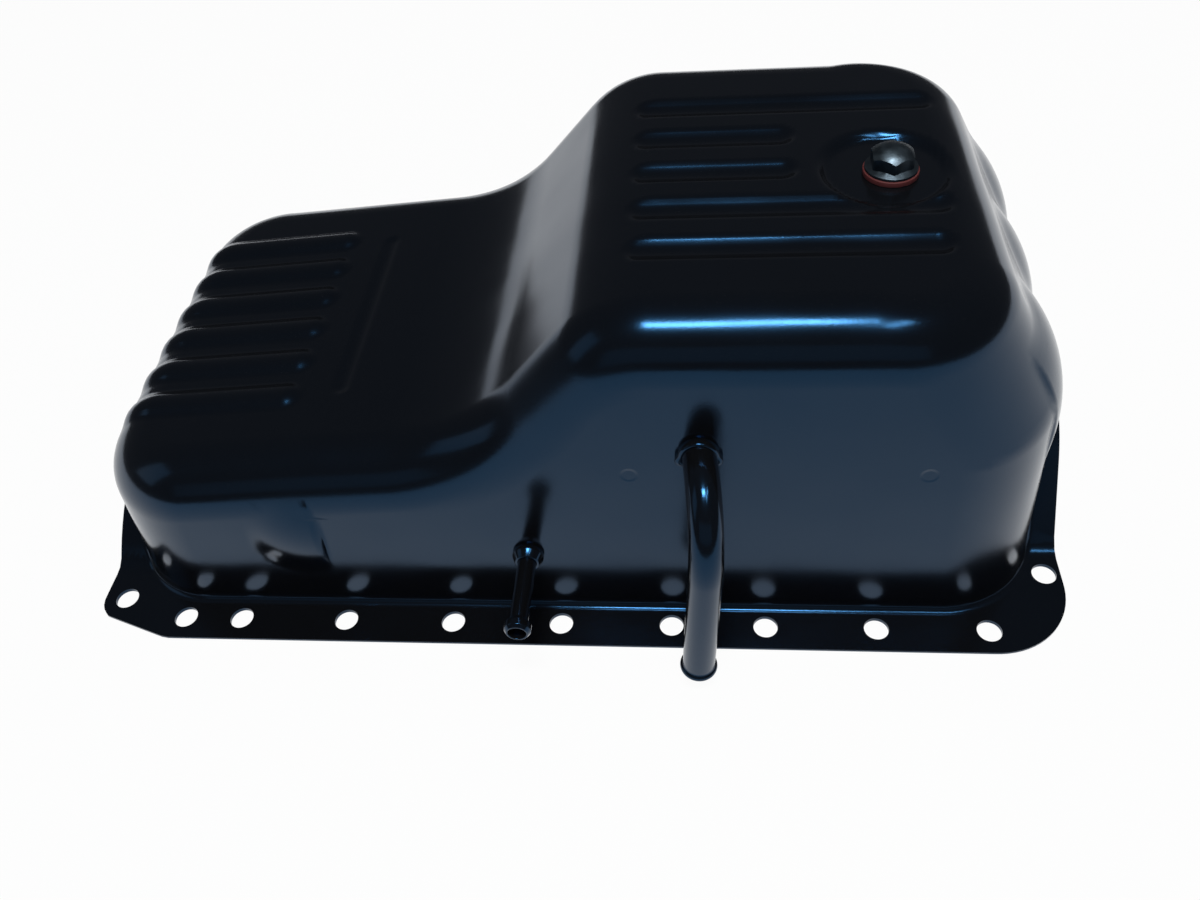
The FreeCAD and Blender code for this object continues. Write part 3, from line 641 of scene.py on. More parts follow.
    def settle(self, points, ways):
        """Points moved along their own directions onto the outer face by Newton steps, and the gradient
        there. Points that start well inside the form are first moved out of it."""
        newton_steps = 14
        reach = 0.004
        buried_depth = 0.0005
        least_slope = 0.25
        buried = self.field(points)[0] < -buried_depth
        points = points + ways * np.where(buried, reach, 0)[:, None]
        for _ in range(newton_steps):
            value, slope = self.field(points)
            against = (slope * ways).sum(1)
            against = np.where(np.abs(against) < least_slope, least_slope, against)
            points = points - ways * np.clip(value / against, -reach, reach)[:, None]
        slope = self.field(points)[1]
        return points, slope / np.linalg.norm(slope, axis=1)[:, None]


def spaced(stops):
    """Places from the first stop to the last, each stop being (place, spacing from there on): whole
    steps between stops."""
    places = []
    for (start, step), (end, _) in zip(stops, stops[1:]):
        places.append(np.linspace(start, end, max(int(round((end - start) / step)), 1), endpoint=False))
    return np.concatenate(places + [[stops[-1][0]]])


def flange_outline(p):
    """Closed polyline of the flange's outline, anticlockwise: straight runs and arcs as dense points, with
    the weight that sets how close the grid's points lie there."""
    samples = 60
    crowding = 0.012
    run_stop = 0.03
    edge = p.row_half_width + p.edge_distance
    corners = np.array([
        (p.flange_right, edge), (p.tab_taper_end, edge), (p.flange_left, p.tab_half_width),
        (p.flange_left, -p.tab_half_width), (p.tab_taper_end, -edge), (p.flange_right, -edge),
    ])
    radii = (p.flange_corner_radius, p.tab_taper_radius, p.tab_radius, p.tab_radius, p.tab_taper_radius,
             p.flange_corner_radius)
    points, weights = [], []
    for i, radius in enumerate(radii):
        here, before, after = corners[i], corners[i - 1], corners[(i + 1) % len(corners)]
        into, out = here - before, after - here
        into, out = into / np.hypot(*into), out / np.hypot(*out)
        turn = math.acos(float(np.clip(into @ out, -1, 1)))
        start = here - into * radius * math.tan(turn / 2)
        centre = start + np.array([-into[1], into[0]]) * radius
        angles = np.linspace(0, turn, samples)[:, None]
        away = start - centre
        side = np.array([-away[1], away[0]])
        points.append(centre + away * np.cos(angles) + side * np.sin(angles))
        weights.append(np.full(samples, 1 + crowding / radius))
        leave = points[-1][-1]
        tangent = after - out * run_stop
        points.append(leave + (tangent - leave) * np.linspace(0, 1, samples)[1:-1, None])
        weights.append(np.ones(samples - 2))
    return np.concatenate(points), np.concatenate(weights)


def outline_stations(p, directions, cores):
    """Point of the flange's outline for each station round the pan. Straight stations go straight out,
    and the stations of a corner share out the outline's corner by its weighted length."""
    points, weights = flange_outline(p)
    result = np.zeros((len(directions), 2))
    straight = np.abs(directions).max(1) > 1 - tiny
    edge = p.row_half_width + p.edge_distance
    side = straight & (np.abs(directions[:, 1]) > 0.5)
    end = straight & ~side
    result[side, 0] = cores[side, 0]
    result[side, 1] = np.sign(directions[side, 1]) * edge
    result[end, 0] = np.where(directions[end, 0] > 0, p.flange_right, p.flange_left)
    result[end, 1] = cores[end, 1]
    angles = np.arctan2(directions[:, 1], directions[:, 0])
    for quarter in range(4):
        low, high = quarter * math.pi / 2, (quarter + 1) * math.pi / 2
        turn = np.mod(angles, 2 * math.pi)
        members = np.flatnonzero(~straight & (turn > low) & (turn < high))
        members = members[np.argsort(turn[members])]
        core = cores[members[0]]
        signs = np.sign(directions[members[0]])
        part = (points[:, 0] * signs[0] > core[0] * signs[0]) & (points[:, 1] * signs[1] > core[1] * signs[1])
        run, load = points[part], weights[part]
        order = np.argsort(np.arctan2(run[:, 1] - core[1], run[:, 0] - core[0]) % (2 * math.pi))
        run, load = run[order], load[order]
        end_x = p.flange_right if signs[0] > 0 else p.flange_left
        at_side, at_end = (core[0], signs[1] * edge), (end_x, core[1])
        first, last = (at_end, at_side) if quarter % 2 == 0 else (at_side, at_end)
        run = np.concatenate([[first], run, [last]])
        load = np.concatenate([[1.0], load, [1.0]])
        steps = np.hypot(*np.diff(run, axis=0).T) * (load[1:] + load[:-1]) / 2
        walked = np.concatenate([[0], np.cumsum(steps)])
        wanted = np.arange(1, len(members) + 1) / (len(members) + 1) * walked[-1]
        result[members] = np.stack([np.interp(wanted, walked, run[:, axis]) for axis in (0, 1)], 1)
    return result


class SheetGrid:
    """The pressing's mesh. The outer face is a grid over tray, ramp and sump, joined to rows that go round
    the pan: down the rim's round, down the wall, through the bend and over the flange to its edge. The
    inner face is the outer one less the sheet along the normal."""

    def __init__(self, form):
        self.form = form
        p, s = form.p, form.s
        self.end_lean = math.atan2(p.end_bend - p.end_top, p.sump_depth - p.end_bend_height)
        self.inner_round = p.corner_radius - p.rim_radius
        left = form.left_top + p.rim_radius * math.tan((math.pi / 2 - p.left_lean - p.tray_slope) / 2)
        right = p.end_top - p.rim_radius * math.tan((math.pi / 2 - self.end_lean) / 2)
        self.core_left, self.core_right = left + self.inner_round, right - self.inner_round
        self.side_round = p.rim_radius * math.tan((math.pi / 2 - p.side_draft) / 2)
        self.reach = form.half_width(p.sump_depth) - self.side_round
        self.core_side = self.reach - self.inner_round
        self.xs = spaced([
            (left, end_step), (self.core_left, tray_step), (s.rib_end - rib_fine, rib_step),
            (s.cross + fine_margin, ramp_step), (s.groove_start - fine_margin, groove_step),
            (s.groove_start + groove_fine, tray_step), (min(groove_ends) - groove_fine, recess_step),
            (self.core_right, end_step), (right, 0.0),
        ])
        half = spaced([(0, across_step), (self.core_side, rim_step), (self.reach, 0.0)])
        self.ys = np.concatenate([-half[:0:-1], half])
        self.number = np.arange(len(self.xs) * len(self.ys)).reshape(len(self.xs), len(self.ys))
        self.lay_border()

    def lay_border(self):
        """The grid's border as a ring, with the way out from each of its points and how far the point lies
        along the straight walls."""
        number, xs, ys = self.number, self.xs, self.ys
        self.ring = np.concatenate([number[:-1, 0], number[-1, :-1], number[:0:-1, -1], number[0, :0:-1]])
        self.count = len(self.ring)
        self.full = np.ones(self.count)
        border = np.stack([np.repeat(xs, len(ys)), np.tile(ys, len(xs))], 1)[self.ring]
        out_x = np.maximum(border[:, 0] - self.core_right, 0) + np.minimum(border[:, 0] - self.core_left, 0)
        out_y = np.maximum(border[:, 1] - self.core_side, 0) + np.minimum(border[:, 1] + self.core_side, 0)
        self.plan = np.hypot(out_x, out_y)
        self.ways = np.stack([out_x, out_y], 1) / self.plan[:, None]
        length_x = self.core_right - self.core_left
        self.share_x = np.clip((border[:, 0] - self.core_left) / length_x, 0, 1)
        self.share_y = np.clip((border[:, 1] + self.core_side) / (2 * self.core_side), 0, 1)

    def top(self):
        """Points of the grid on the tray, ramp and sump floor, narrower where the walls lean in."""
        heights = chain_height(self.form.top, self.xs)
        spread = (self.form.half_width(heights) - self.side_round) / self.reach
        grid_x, grid_y = np.meshgrid(self.xs, self.ys, indexing="ij")
        grid_z = np.broadcast_to(heights[:, None], grid_x.shape)
        return np.stack([grid_x, grid_y * spread[:, None], grid_z], 2).reshape(-1, 3)

    def core(self, z):
        """Middle of the upright corner at a height, shared out along the straight walls."""
        low = self.form.left_wall(z) + self.form.p.corner_radius
        high = self.form.right_wall(z) - self.form.p.corner_radius
        wide = self.form.half_width(z) - self.form.p.corner_radius
        return np.stack([low + (high - low) * self.share_x, (2 * self.share_y - 1) * wide], 1)

    def row(self, plan_points, z, rise):
        """One row of points with the directions that they are moved in."""
        flat = self.ways * np.sqrt(np.maximum(1 - rise ** 2, 0))[:, None]
        return np.column_stack([plan_points, z]), np.column_stack([flat, rise])

    def rim(self, top_points):
        """Rows down the rim's round, from the grid's border to the wall's own lean."""
        p = self.form.p
        first = np.arcsin(np.clip((self.plan - self.inner_round) / p.rim_radius, 0, 1))
        lean = np.where(self.ways[:, 0] > 0, self.end_lean, p.left_lean)
        last = math.pi / 2 - lean * self.ways[:, 0] ** 2 - p.side_draft * self.ways[:, 1] ** 2
        rows = []
        for step in np.linspace(0, 1, rim_rows + 1)[1:]:
            turn = first + (last - first) * step
            out = self.inner_round - self.plan + p.rim_radius * np.sin(turn)
            place = top_points[self.ring, :2] + self.ways * out[:, None]
            height = chain_height(self.form.top, np.minimum(place[:, 0], p.end_top))
            rows.append(self.row(place, height - p.rim_radius * (1 - np.cos(turn)), np.cos(turn)))
        return rows

    def wall(self, upper):
        """Rows down the wall and through the bend at its foot."""
        form, p = self.form, self.form.p
        foot = self.core(self.full * p.sheet) + self.ways * p.corner_radius
        lower = form.flange_height(foot[:, 0], foot[:, 1]) + p.bend_radius
        rows = []
        for step in np.linspace(0, 1, wall_rows + 1)[1:]:
            z = upper + (lower - upper) * step
            rows.append(self.row(self.core(z) + self.ways * p.corner_radius, z, 0 * self.full))
        for turn in np.linspace(0, math.pi / 2, bend_rows + 1)[1:]:
            out = p.corner_radius + p.bend_radius * (1 - math.cos(turn))
            z = lower - p.bend_radius * math.sin(turn)
            rows.append(self.row(self.core(z) + self.ways * out, z, self.full * math.sin(turn)))
        return rows

    def flange(self, start):
        """Rows over the flange, the last but one a bevel short of its edge and the last on it."""
        form = self.form
        edge = outline_stations(form.p, self.ways, self.core(self.full * form.p.sheet))
        steps = [self.full * step for step in np.linspace(0, 1, flange_rows + 1)[1:]]
        steps[-1] = 1 - flange_bevel / np.hypot(*(edge - start).T)
        rows = []
        for step in steps + [self.full]:
            place = start + (edge - start) * step[:, None]
            rows.append(self.row(place, form.flange_height(place[:, 0], place[:, 1]), self.full))
        return rows

    def mesh(self):
        """Points and faces of the whole sheet: outer face, edge and inner face. The inner face has every
        second row, and no point that no face uses."""
        top_points = self.top()
        rows = self.rim(top_points)
        rows += self.wall(rows[-1][0][:, 2])
        rows += self.flange(rows[-1][0][:, :2])
        points = np.concatenate([top_points] + [place for place, way in rows])
        ways = np.concatenate([np.tile([0.0, 0.0, 1.0], (len(top_points), 1))] + [way for place, way in rows])
        points, normals = self.form.settle(points, ways)
        station = np.arange(self.count)
        rings = [self.ring] + [len(top_points) + self.count * i + station for i in range(len(rows))]
        edge = rings.pop()
        sheet = self.form.p.sheet
        shift = edge[0]
        layers = [points[:shift], points[:shift] - sheet * normals[:shift]]
        for depth in (flange_bevel, sheet - flange_bevel):
            layers.append(points[edge] - depth * normals[edge])
        thin = [0, *range(2, len(rings) - 1, 2), len(rings) - 1]
        inner = [rings[i] + shift for i in reversed(thin)]
        rings += [2 * shift + station, 2 * shift + self.count + station] + inner
        return self.joined(np.concatenate(layers), rings, shift)

    def joined(self, points, rings, shift):
        """The grid's faces outside and inside, and those between the rings, on the points that they use."""
        grid = self.number
        quads = np.stack([grid[:-1, :-1], grid[1:, :-1], grid[1:, 1:], grid[:-1, 1:]], 2).reshape(-1, 4)
        faces = [quads, quads[:, ::-1] + shift]
        for one, other in zip(rings, rings[1:]):
            faces.append(np.stack([one, other, np.roll(other, -1), np.roll(one, -1)], 1))
        faces = np.concatenate(faces)
        used = np.unique(faces)
        index = np.full(len(points), -1)
        index[used] = np.arange(len(used))
        return points[used], index[faces]


def new_object(name, points, *faces):
    """A mesh object in the scene, from an array of points and one or more arrays of faces."""
    mesh = bpy.data.meshes.new(name)
    mesh.from_pydata(points.tolist(), [], [face for part in faces for face in part.tolist()])
    thing = bpy.data.objects.new(name, mesh)
    bpy.context.scene.collection.objects.link(thing)
    return thing


def new_piece(name, points, faces, body, replaced):
    """A smooth piece that rides on its body in the place of a CAD node."""
    piece = new_object(name, points, *faces)
    mesh = piece.data
    mesh.polygons.foreach_set("use_smooth", np.ones(len(mesh.polygons), bool))
    mesh.update()
    mesh.validate()
    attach(piece, body)
    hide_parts(replaced)
    return piece


def face_out(piece):
    """Turns every face of a closed mesh outwards."""
    work = bmesh.new()
    work.from_mesh(piece.data)
    bmesh.ops.recalc_face_normals(work, faces=work.faces)
    work.to_mesh(piece.data)
    work.free()


def turned_piece(name, points, rows, body, replaced, material):
    """A piece whose rows of points close into a tube, faced out and finished."""
    piece = new_piece(name, points, [ring_faces(rows, len(points) // rows)], body, replaced)
    face_out(piece)
    finish(piece, material)
    return piece


def grid_faces(rows, columns):
    """Quads between rows of a grid whose columns go round."""
    number = np.arange(rows * columns).reshape(rows, columns)
    ahead = np.roll(number, -1, axis=1)
    return np.stack([number[:-1], ahead[:-1], ahead[1:], number[1:]], 2).reshape(-1, 4)


def circle_angles(sides):
    """Angles of the corners of a circle's polygon."""
    return np.arange(sides) * 2 * math.pi / sides


def cylinders(centres, radius, low, high, sides):
    """Upright closed cylinders as one mesh: circles at two heights with a middle point at each end."""
    turn = circle_angles(sides)
    ring = np.stack([np.cos(turn), np.sin(turn)], 1)
    points, faces = [], []
    for (x, y), wide, bottom, top in zip(centres, radius, low, high):
        start = sum(len(item) for item in points)
        circle = ring * wide + (x, y)
        for z in (bottom, top):
            points.append(np.column_stack([circle, np.full(sides, z)]))
        points.append(np.array([(x, y, bottom), (x, y, top)]))
        here = start + np.arange(sides)
        ahead = start + np.roll(np.arange(sides), -1)
        middle = np.full(sides, start + 2 * sides)
        faces.append(np.stack([here, ahead, ahead + sides], 1))
        faces.append(np.stack([here, ahead + sides, here + sides], 1))
        faces.append(np.stack([middle, ahead, here], 1))
        faces.append(np.stack([middle + 1, here + sides, ahead + sides], 1))
    return np.concatenate(points), np.concatenate(faces)


def pierce(piece, cutter):
    """Cuts the closed cutter out of a piece's mesh and removes the cutter."""
    tool = piece.modifiers.new("holes", "BOOLEAN")
    tool.operation = "DIFFERENCE"
    tool.solver = "MANIFOLD"
    tool.object = cutter
    bpy.context.view_layer.update()
    seen = piece.evaluated_get(bpy.context.evaluated_depsgraph_get())
    mesh = bpy.data.meshes.new_from_object(seen)
    piece.modifiers.clear()
    piece.data = mesh
    bpy.data.objects.remove(cutter)


def set_pan_normals(piece, form):
    """Normals of the sheet's two faces straight from the field's gradient. Cut edges stay flat."""
    mesh = piece.data
    points = np.empty(len(mesh.vertices) * 3)
    mesh.vertices.foreach_get("co", points)
    points = points.reshape(-1, 3)
    value, slope = form.field(points)
    slope = slope / np.linalg.norm(slope, axis=1)[:, None]
    normals = np.where((value > -form.p.sheet / 2)[:, None], slope, -slope)
    corners = np.empty(len(mesh.loops), int)
    mesh.loops.foreach_get("vertex_index", corners)
    flat = np.empty(len(mesh.polygons) * 3)
    mesh.polygons.foreach_get("normal", flat)
    totals = np.empty(len(mesh.polygons), int)
    mesh.polygons.foreach_get("loop_total", totals)
    flat = np.repeat(flat.reshape(-1, 3), totals, axis=0)
    wanted = normals[corners]
    likeness = 0.6
    cut = (wanted * flat).sum(1) < likeness
    wanted[cut] = flat[cut]
    mesh.polygons.foreach_set("use_smooth", np.ones(len(mesh.polygons), bool))
    mesh.normals_split_custom_set(wanted.tolist())


def lathe(profile, place, sides):
    """Points of a surface of revolution: each (radius, height) of the profile goes round in a circle, and
    place puts the rows of (x, y, height) where they belong."""
    angles = circle_angles(sides)
    radius, height = profile[:, :1], profile[:, 1:]
    x, y = radius * np.cos(angles), radius * np.sin(angles)
    points = np.stack([x, y, np.broadcast_to(height, x.shape)], 2).reshape(-1, 3)
    return place(points)


def rounded(profile, radii, closed=True, steps=arc_points):
    """A profile with its corners rounded: each corner becomes an arc tangent to its two sides."""
    profile = np.asarray(profile, float)
    count = len(profile)
    points = []
    for i in range(count):
        if not closed and i in (0, count - 1) or radii[i] == 0:
            points.append(profile[i][None])
            continue
        into = profile[i] - profile[i - 1]
        out = profile[(i + 1) % count] - profile[i]
        into, out = into / np.hypot(*into), out / np.hypot(*out)
        cross = into[0] * out[1] - into[1] * out[0]
        turn = math.atan2(abs(cross), float(into @ out))
        start = profile[i] - into * radii[i] * math.tan(turn / 2)
        centre = start + np.array([-into[1], into[0]]) * math.copysign(radii[i], cross)
        angles = np.linspace(0, math.copysign(turn, cross), steps)[:, None]
        away = start - centre
        side = np.array([-away[1], away[0]])
        points.append(centre + away * np.cos(angles) + side * np.sin(angles))
    return np.concatenate(points)


def ring_faces(rows, columns):
    """Quads of a closed tube whose rows close on themselves, as on a washer."""
    number = np.arange(rows * columns).reshape(rows, columns)
    ahead = np.roll(number, -1, axis=1)
    below = np.roll(number, -1, axis=0)
    return np.stack([number, ahead, np.roll(ahead, -1, axis=0), below], 2).reshape(-1, 4)


class TubePath:
    """Centre line of the return tube: a straight run out of the wall, an arc, and a straight run down."""

    def __init__(self, form, size):
        wall = -form.half_width(size.tube_level)
        start = np.array([size.tube_place, wall, size.tube_level])
        elbow = np.array([size.tube_elbow, wall - size.tube_reach, size.tube_level])
        end = np.array([size.tube_end, wall - size.tube_reach, size.tube_end_level])
        out = (elbow - start) / np.linalg.norm(elbow - start)
        down = (end - elbow) / np.linalg.norm(end - elbow)
        towards = down - out * float(out @ down)
        start = start - out * (form.p.sheet + size.tube_inside)
        self.out, self.inwards = out, towards / np.linalg.norm(towards)
        self.side = np.cross(self.out, self.inwards)
        self.bend = size.tube_bend
        self.turn = math.acos(float(out @ down))
        trim = self.bend * math.tan(self.turn / 2)
        self.centre = elbow - out * trim + self.inwards * self.bend
        self.first = np.linalg.norm(elbow - start) - trim
        self.arc = self.bend * self.turn
        self.total = self.first + self.arc + np.linalg.norm(end - elbow) - trim

    def carried(self, points):
        """Rows (x, y, distance) put on the centre line: x goes towards the bend's middle, y across."""
        distance = points[:, 2:]
        bent = np.clip((distance - self.first) / self.arc, 0, 1) * self.turn
        before = np.minimum(distance - self.first, 0)
        after = np.maximum(distance - self.first - self.arc, 0)
        ahead = self.out * np.cos(bent) + self.inwards * np.sin(bent)
        towards = self.inwards * np.cos(bent) - self.out * np.sin(bent)
        line = self.centre + self.out * before + ahead * after - towards * self.bend
        return line + towards * points[:, :1] + self.side * points[:, 1:2]


def tube_profile(size, path):
    """Closed profile of the tube's wall as (radius, distance): outside, bead, mouth and bore. The bead's
    radius grows by half an ellipse over its width."""
    straight_rings, arc_rings, lower_rings, bead_rings = 8, 40, 12, 14
    outer, total = size.tube_diameter / 2, path.total
    bore = outer - size.tube_wall
    lip = size.tube_wall * lip_share
    crest = lip * 0.3
    middle = total - size.tube_bead_inset - size.tube_bead_width / 2
    plain = np.concatenate([
        np.linspace(0, path.first, straight_rings),
        path.first + np.linspace(0, path.arc, arc_rings)[1:],
        np.linspace(path.first + path.arc, middle - size.tube_bead_width, lower_rings)[1:],
    ])
    bead = np.linspace(middle - size.tube_bead_width / 2, total - lip, bead_rings)
    swell = np.sqrt(np.clip(1 - (2 * (bead - middle) / size.tube_bead_width) ** 2, 0, 1))
    profile = [(outer - lip, 0.0)] + [(outer, max(distance, lip)) for distance in plain]
    profile += list(zip(outer + size.tube_bead * swell, bead))
    profile += [(outer - crest, total - crest), (outer - lip, total)]
    profile += [(bore + lip, total), (bore, total - lip)]
    profile += [(bore, distance) for distance in plain[::-1]]
    return np.array(profile)


def collar_outline(size, ray):
    """How far the tube's collar reaches in each direction: a circle, or the far side of either ear's
    circle where that is farther, averaged over a few neighbours."""
    body = np.full(len(ray), size.collar_diameter / 2)
    for sign in (-1, 1):
        ear = np.array([sign * size.ear_offset, -size.ear_drop])
        along = ray @ ear
        inside = size.ear_radius ** 2 - (ear @ ear - along ** 2)
        reach = np.where((inside > 0) & (along > 0), along + np.sqrt(np.maximum(inside, 0)), 0)
        body = np.maximum(body, reach)
    weights = np.array([1, 2, 3, 2, 1]) / 9
    return np.convolve(np.concatenate([body[-2:], body, body[:2]]), weights, "valid")


def plug_head(size, angles):
    """Rows (radius, height) of the plug's head: a hexagon's outline under a ball's dome, its six sides, and
    the coned flange."""
    dome_rings, side_rings = 12, 5
    blunt, overlap, pole = 0.985, 1.02, 0.04
    sixth = math.pi / 3
    sector = np.mod(angles + sixth / 2, sixth) - sixth / 2
    flats = size.hex_width / 2
    hexagon = np.minimum(flats / np.cos(sector), flats / math.cos(sixth / 2) * blunt)
    top = size.flange_thickness
    rows = []
    for part in np.linspace(pole, 1, dome_rings):
        radius = hexagon * part
        fall = np.sqrt(np.maximum(size.hex_dome ** 2 - radius ** 2, 0))
        rows.append((radius, top + size.hex_height - size.hex_dome + fall))
    rim = rows[-1][1]
    for part in np.linspace(0, 1, side_rings + 1)[1:]:
        rows.append((hexagon, rim + (top * overlap - rim) * part))
    flange = size.flange_diameter / 2
    profile = rounded([(flats * overlap, top), (flange, top / 2), (flange, 0), (0.0, 0)],
                      [0.0, size.edge, size.edge, 0.0], closed=False)
    full = np.ones(len(angles))
    return rows + [(full * radius, full * height) for radius, height in profile[:-1]]


def plug_shank(size, tip, angles):
    """Rows (radius, height) of the threaded shank down to its tip: the radius falls by a tooth's flanks,
    whose phase follows the height over the pitch less the angle over a full turn."""
    shank = size.thread / 2
    full = np.ones(len(angles))
    head_gap, rings_a_turn = 0.0004, 8
    plain_shank, run_in, slack = 0.0022, 0.001, 0.00004
    flank, root, pole = 2.2, 0.05, 0.05
    rows = []
    for height in np.arange(-head_gap, size.tip_chamfer - tip, -size.thread_pitch / rings_a_turn):
        phase = np.mod(height / size.thread_pitch - angles / (2 * math.pi), 1.0)
        tooth = np.clip(flank * np.abs(phase - 0.5) - root, 0, 1)
        fade = np.clip((-height - plain_shank) / run_in, 0, 1)
        rows.append((shank - size.thread_depth * tooth * fade - slack, full * height))
    return rows + [(full * radius, full * -tip) for radius in (shank - size.tip_chamfer, shank * pole)]


# Materials


def node(tree, kind, place, **settings):
    """A shader node with its settings."""
    made = tree.nodes.new(kind)
    made.location = place
    for key, value in settings.items():
        setattr(made, key, value)
    return made


def new_material(name):
    """Empty node material with a Principled shader and object coordinates."""
    material = bpy.data.materials.new(name)
    material.use_nodes = True
    tree = material.node_tree
    shader = tree.nodes["Principled BSDF"]
    coordinates = node(tree, "ShaderNodeTexCoord", (-1400, 0))
    return material, tree, shader, coordinates.outputs["Object"]


def noise(tree, coordinates, place, scale, detail):
    """Noise over object coordinates."""
    made = node(tree, "ShaderNodeTexNoise", place)
    made.inputs["Scale"].default_value = scale
    made.inputs["Detail"].default_value = detail
    tree.links.new(coordinates, made.inputs["Vector"])
    return made.outputs["Fac"]


def ramp(tree, source, place, given, wanted):
    """A value mapped from a given range to the wanted one, held at its ends."""
    made = node(tree, "ShaderNodeMapRange", place)
    for key, value in zip(("From Min", "From Max", "To Min", "To Max"), (*given, *wanted)):
        made.inputs[key].default_value = value
    tree.links.new(source, made.inputs["Value"])
    return made.outputs["Result"]


def bump(tree, height, place, strength, distance, before=None):
    """A bump of a given depth on top of an earlier one."""
    made = node(tree, "ShaderNodeBump", place)
    made.inputs["Strength"].default_value = strength
    made.inputs["Distance"].default_value = distance
    tree.links.new(height, made.inputs["Height"])
    if before is not None:
        tree.links.new(before, made.inputs["Normal"])
    return made.outputs["Normal"]


def mixed(tree, factor, first, last, place):
    """A colour between two, by a factor."""
    made = node(tree, "ShaderNodeMix", place, data_type="RGBA")
    made.inputs[6].default_value = (*first, 1)
    made.inputs[7].default_value = (*last, 1)
    tree.links.new(factor, made.inputs[0])
    return made.outputs[2]


def black_paint(look, detail, weld_places):
    """Dipped gloss black paint: slow waviness of the drawn sheet, fine peel, dust specks and the faint
    rings of spot welds."""
    material, tree, shader, coordinates = new_material("gloss_black")
    shader.inputs["Specular Tint"].default_value = (*look.paint_sheen, 1)
    shader.inputs["Specular IOR Level"].default_value = look.paint_gloss
    specks = noise(tree, coordinates, (-1100, 200), scale=detail.speck_scale, detail=1.0)
    specks = ramp(tree, specks, (-900, 200), given=(0.70, 0.78), wanted=(0.0, detail.speck))
    pale = tuple(value + detail.speck_light for value in look.paint)
    tree.links.new(mixed(tree, specks, look.paint, pale, (-700, 200)), shader.inputs["Base Color"])
    cloud = noise(tree, coordinates, (-1100, -50), scale=detail.cloud_scale, detail=3.0)
    glossy, dull = look.paint_roughness * 0.75, look.paint_roughness * 1.35
    rough = ramp(tree, cloud, (-900, -50), given=middling, wanted=(glossy, dull))
    tree.links.new(rough, shader.inputs["Roughness"])
    waves = noise(tree, coordinates, (-1100, -300), scale=detail.wave_scale, detail=1.0)
    normal = bump(tree, waves, (-700, -300), strength=detail.wave, distance=detail.wave_depth)
    peel = noise(tree, coordinates, (-1100, -500), scale=detail.peel_scale, detail=2.0)
    normal = bump(tree, peel, (-500, -400), strength=detail.peel, distance=detail.peel_depth, before=normal)
    for i, place in enumerate(weld_places):
        row = -800 - 200 * i
        away = node(tree, "ShaderNodeVectorMath", (-1100, row), operation="DISTANCE")
        tree.links.new(coordinates, away.inputs[0])
        away.inputs[1].default_value = place
        ring = (detail.weld_radius * 0.7, detail.weld_radius)
        dip = ramp(tree, away.outputs["Value"], (-900, row), given=ring, wanted=(0.0, 1.0))
        normal = bump(tree, dip, (-400, row), strength=0.6, distance=detail.weld_depth, before=normal)
    tree.links.new(normal, shader.inputs["Normal"])
    return material


def mottled(made, pattern, tone, shade, roughness, grain, strength):
    """Colour and roughness that follow one pattern, and the relief of a grain."""
    material, tree, shader, _ = made
    dark = tuple(value * shade for value in tone)
    tree.links.new(mixed(tree, pattern, dark, tone, (-700, 200)), shader.inputs["Base Color"])
    rough = ramp(tree, pattern, (-900, -50), given=middling, wanted=roughness)
    tree.links.new(rough, shader.inputs["Roughness"])
    normal = bump(tree, grain, (-700, -300), strength=strength, distance=grain_depth)
    tree.links.new(normal, shader.inputs["Normal"])
    return material


def plug_metal(look):
    """Dark zinc plating with dull patches and a fine grain."""
    made = new_material("zinc_plate")
    _, tree, shader, coordinates = made
    shader.inputs["Metallic"].default_value = 1.0
    patches = noise(tree, coordinates, (-1100, 200), scale=260.0, detail=3.0)
    grain = noise(tree, coordinates, (-1100, -300), scale=1400.0, detail=2.0)
    return mottled(made, patches, look.plug_metal, shade=0.72, roughness=(0.32, 0.50), grain=grain,
                   strength=0.12)


def red_fibre(look):
    """Pressed red fibre, matt and slightly mottled."""
    made = new_material("red_fibre")
    _, tree, _, coordinates = made
    fibres = noise(tree, coordinates, (-1100, 200), scale=900.0, detail=4.0)
    return mottled(made, fibres, look.seal, shade=0.6, roughness=(0.5, 0.75), grain=fibres, strength=0.3)


def bare_steel(look):
    """Rolled sheet steel: fine rolling lines and an oily variation of gloss."""
    made = new_material("bare_steel")
    _, tree, shader, coordinates = made
    shader.inputs["Metallic"].default_value = 1.0
    stretch = node(tree, "ShaderNodeMapping", (-1250, 0))
    stretch.inputs["Scale"].default_value = (1.0, 30.0, 30.0)
    tree.links.new(coordinates, stretch.inputs["Vector"])
    lines = noise(tree, stretch.outputs["Vector"], (-1050, 200), scale=60.0, detail=3.0)
    return mottled(made, lines, look.steel, shade=0.75, roughness=(0.30, 0.46), grain=lines, strength=0.1)


def finish(piece, material):
    """Gives every slot of a piece the same material."""
    if not piece.material_slots:
        piece.data.materials.append(material)
    for slot in piece.material_slots:
        slot.material = material


def paint():
    """The black paint, made once."""
    scene = bpy.context.scene
    form = PanForm(scene.pan_pressing, scene.pan_shapes)
    places = []
    for x in lug_places:
        for side in (-1, 1):
            places.append((x, side * form.half_width(lug_level), lug_level))
    return bpy.data.materials.get("gloss_black") or black_paint(scene.pan_finish, scene.pan_detail, places)


# Operators: one for each piece or group of like pieces, and one for the stage


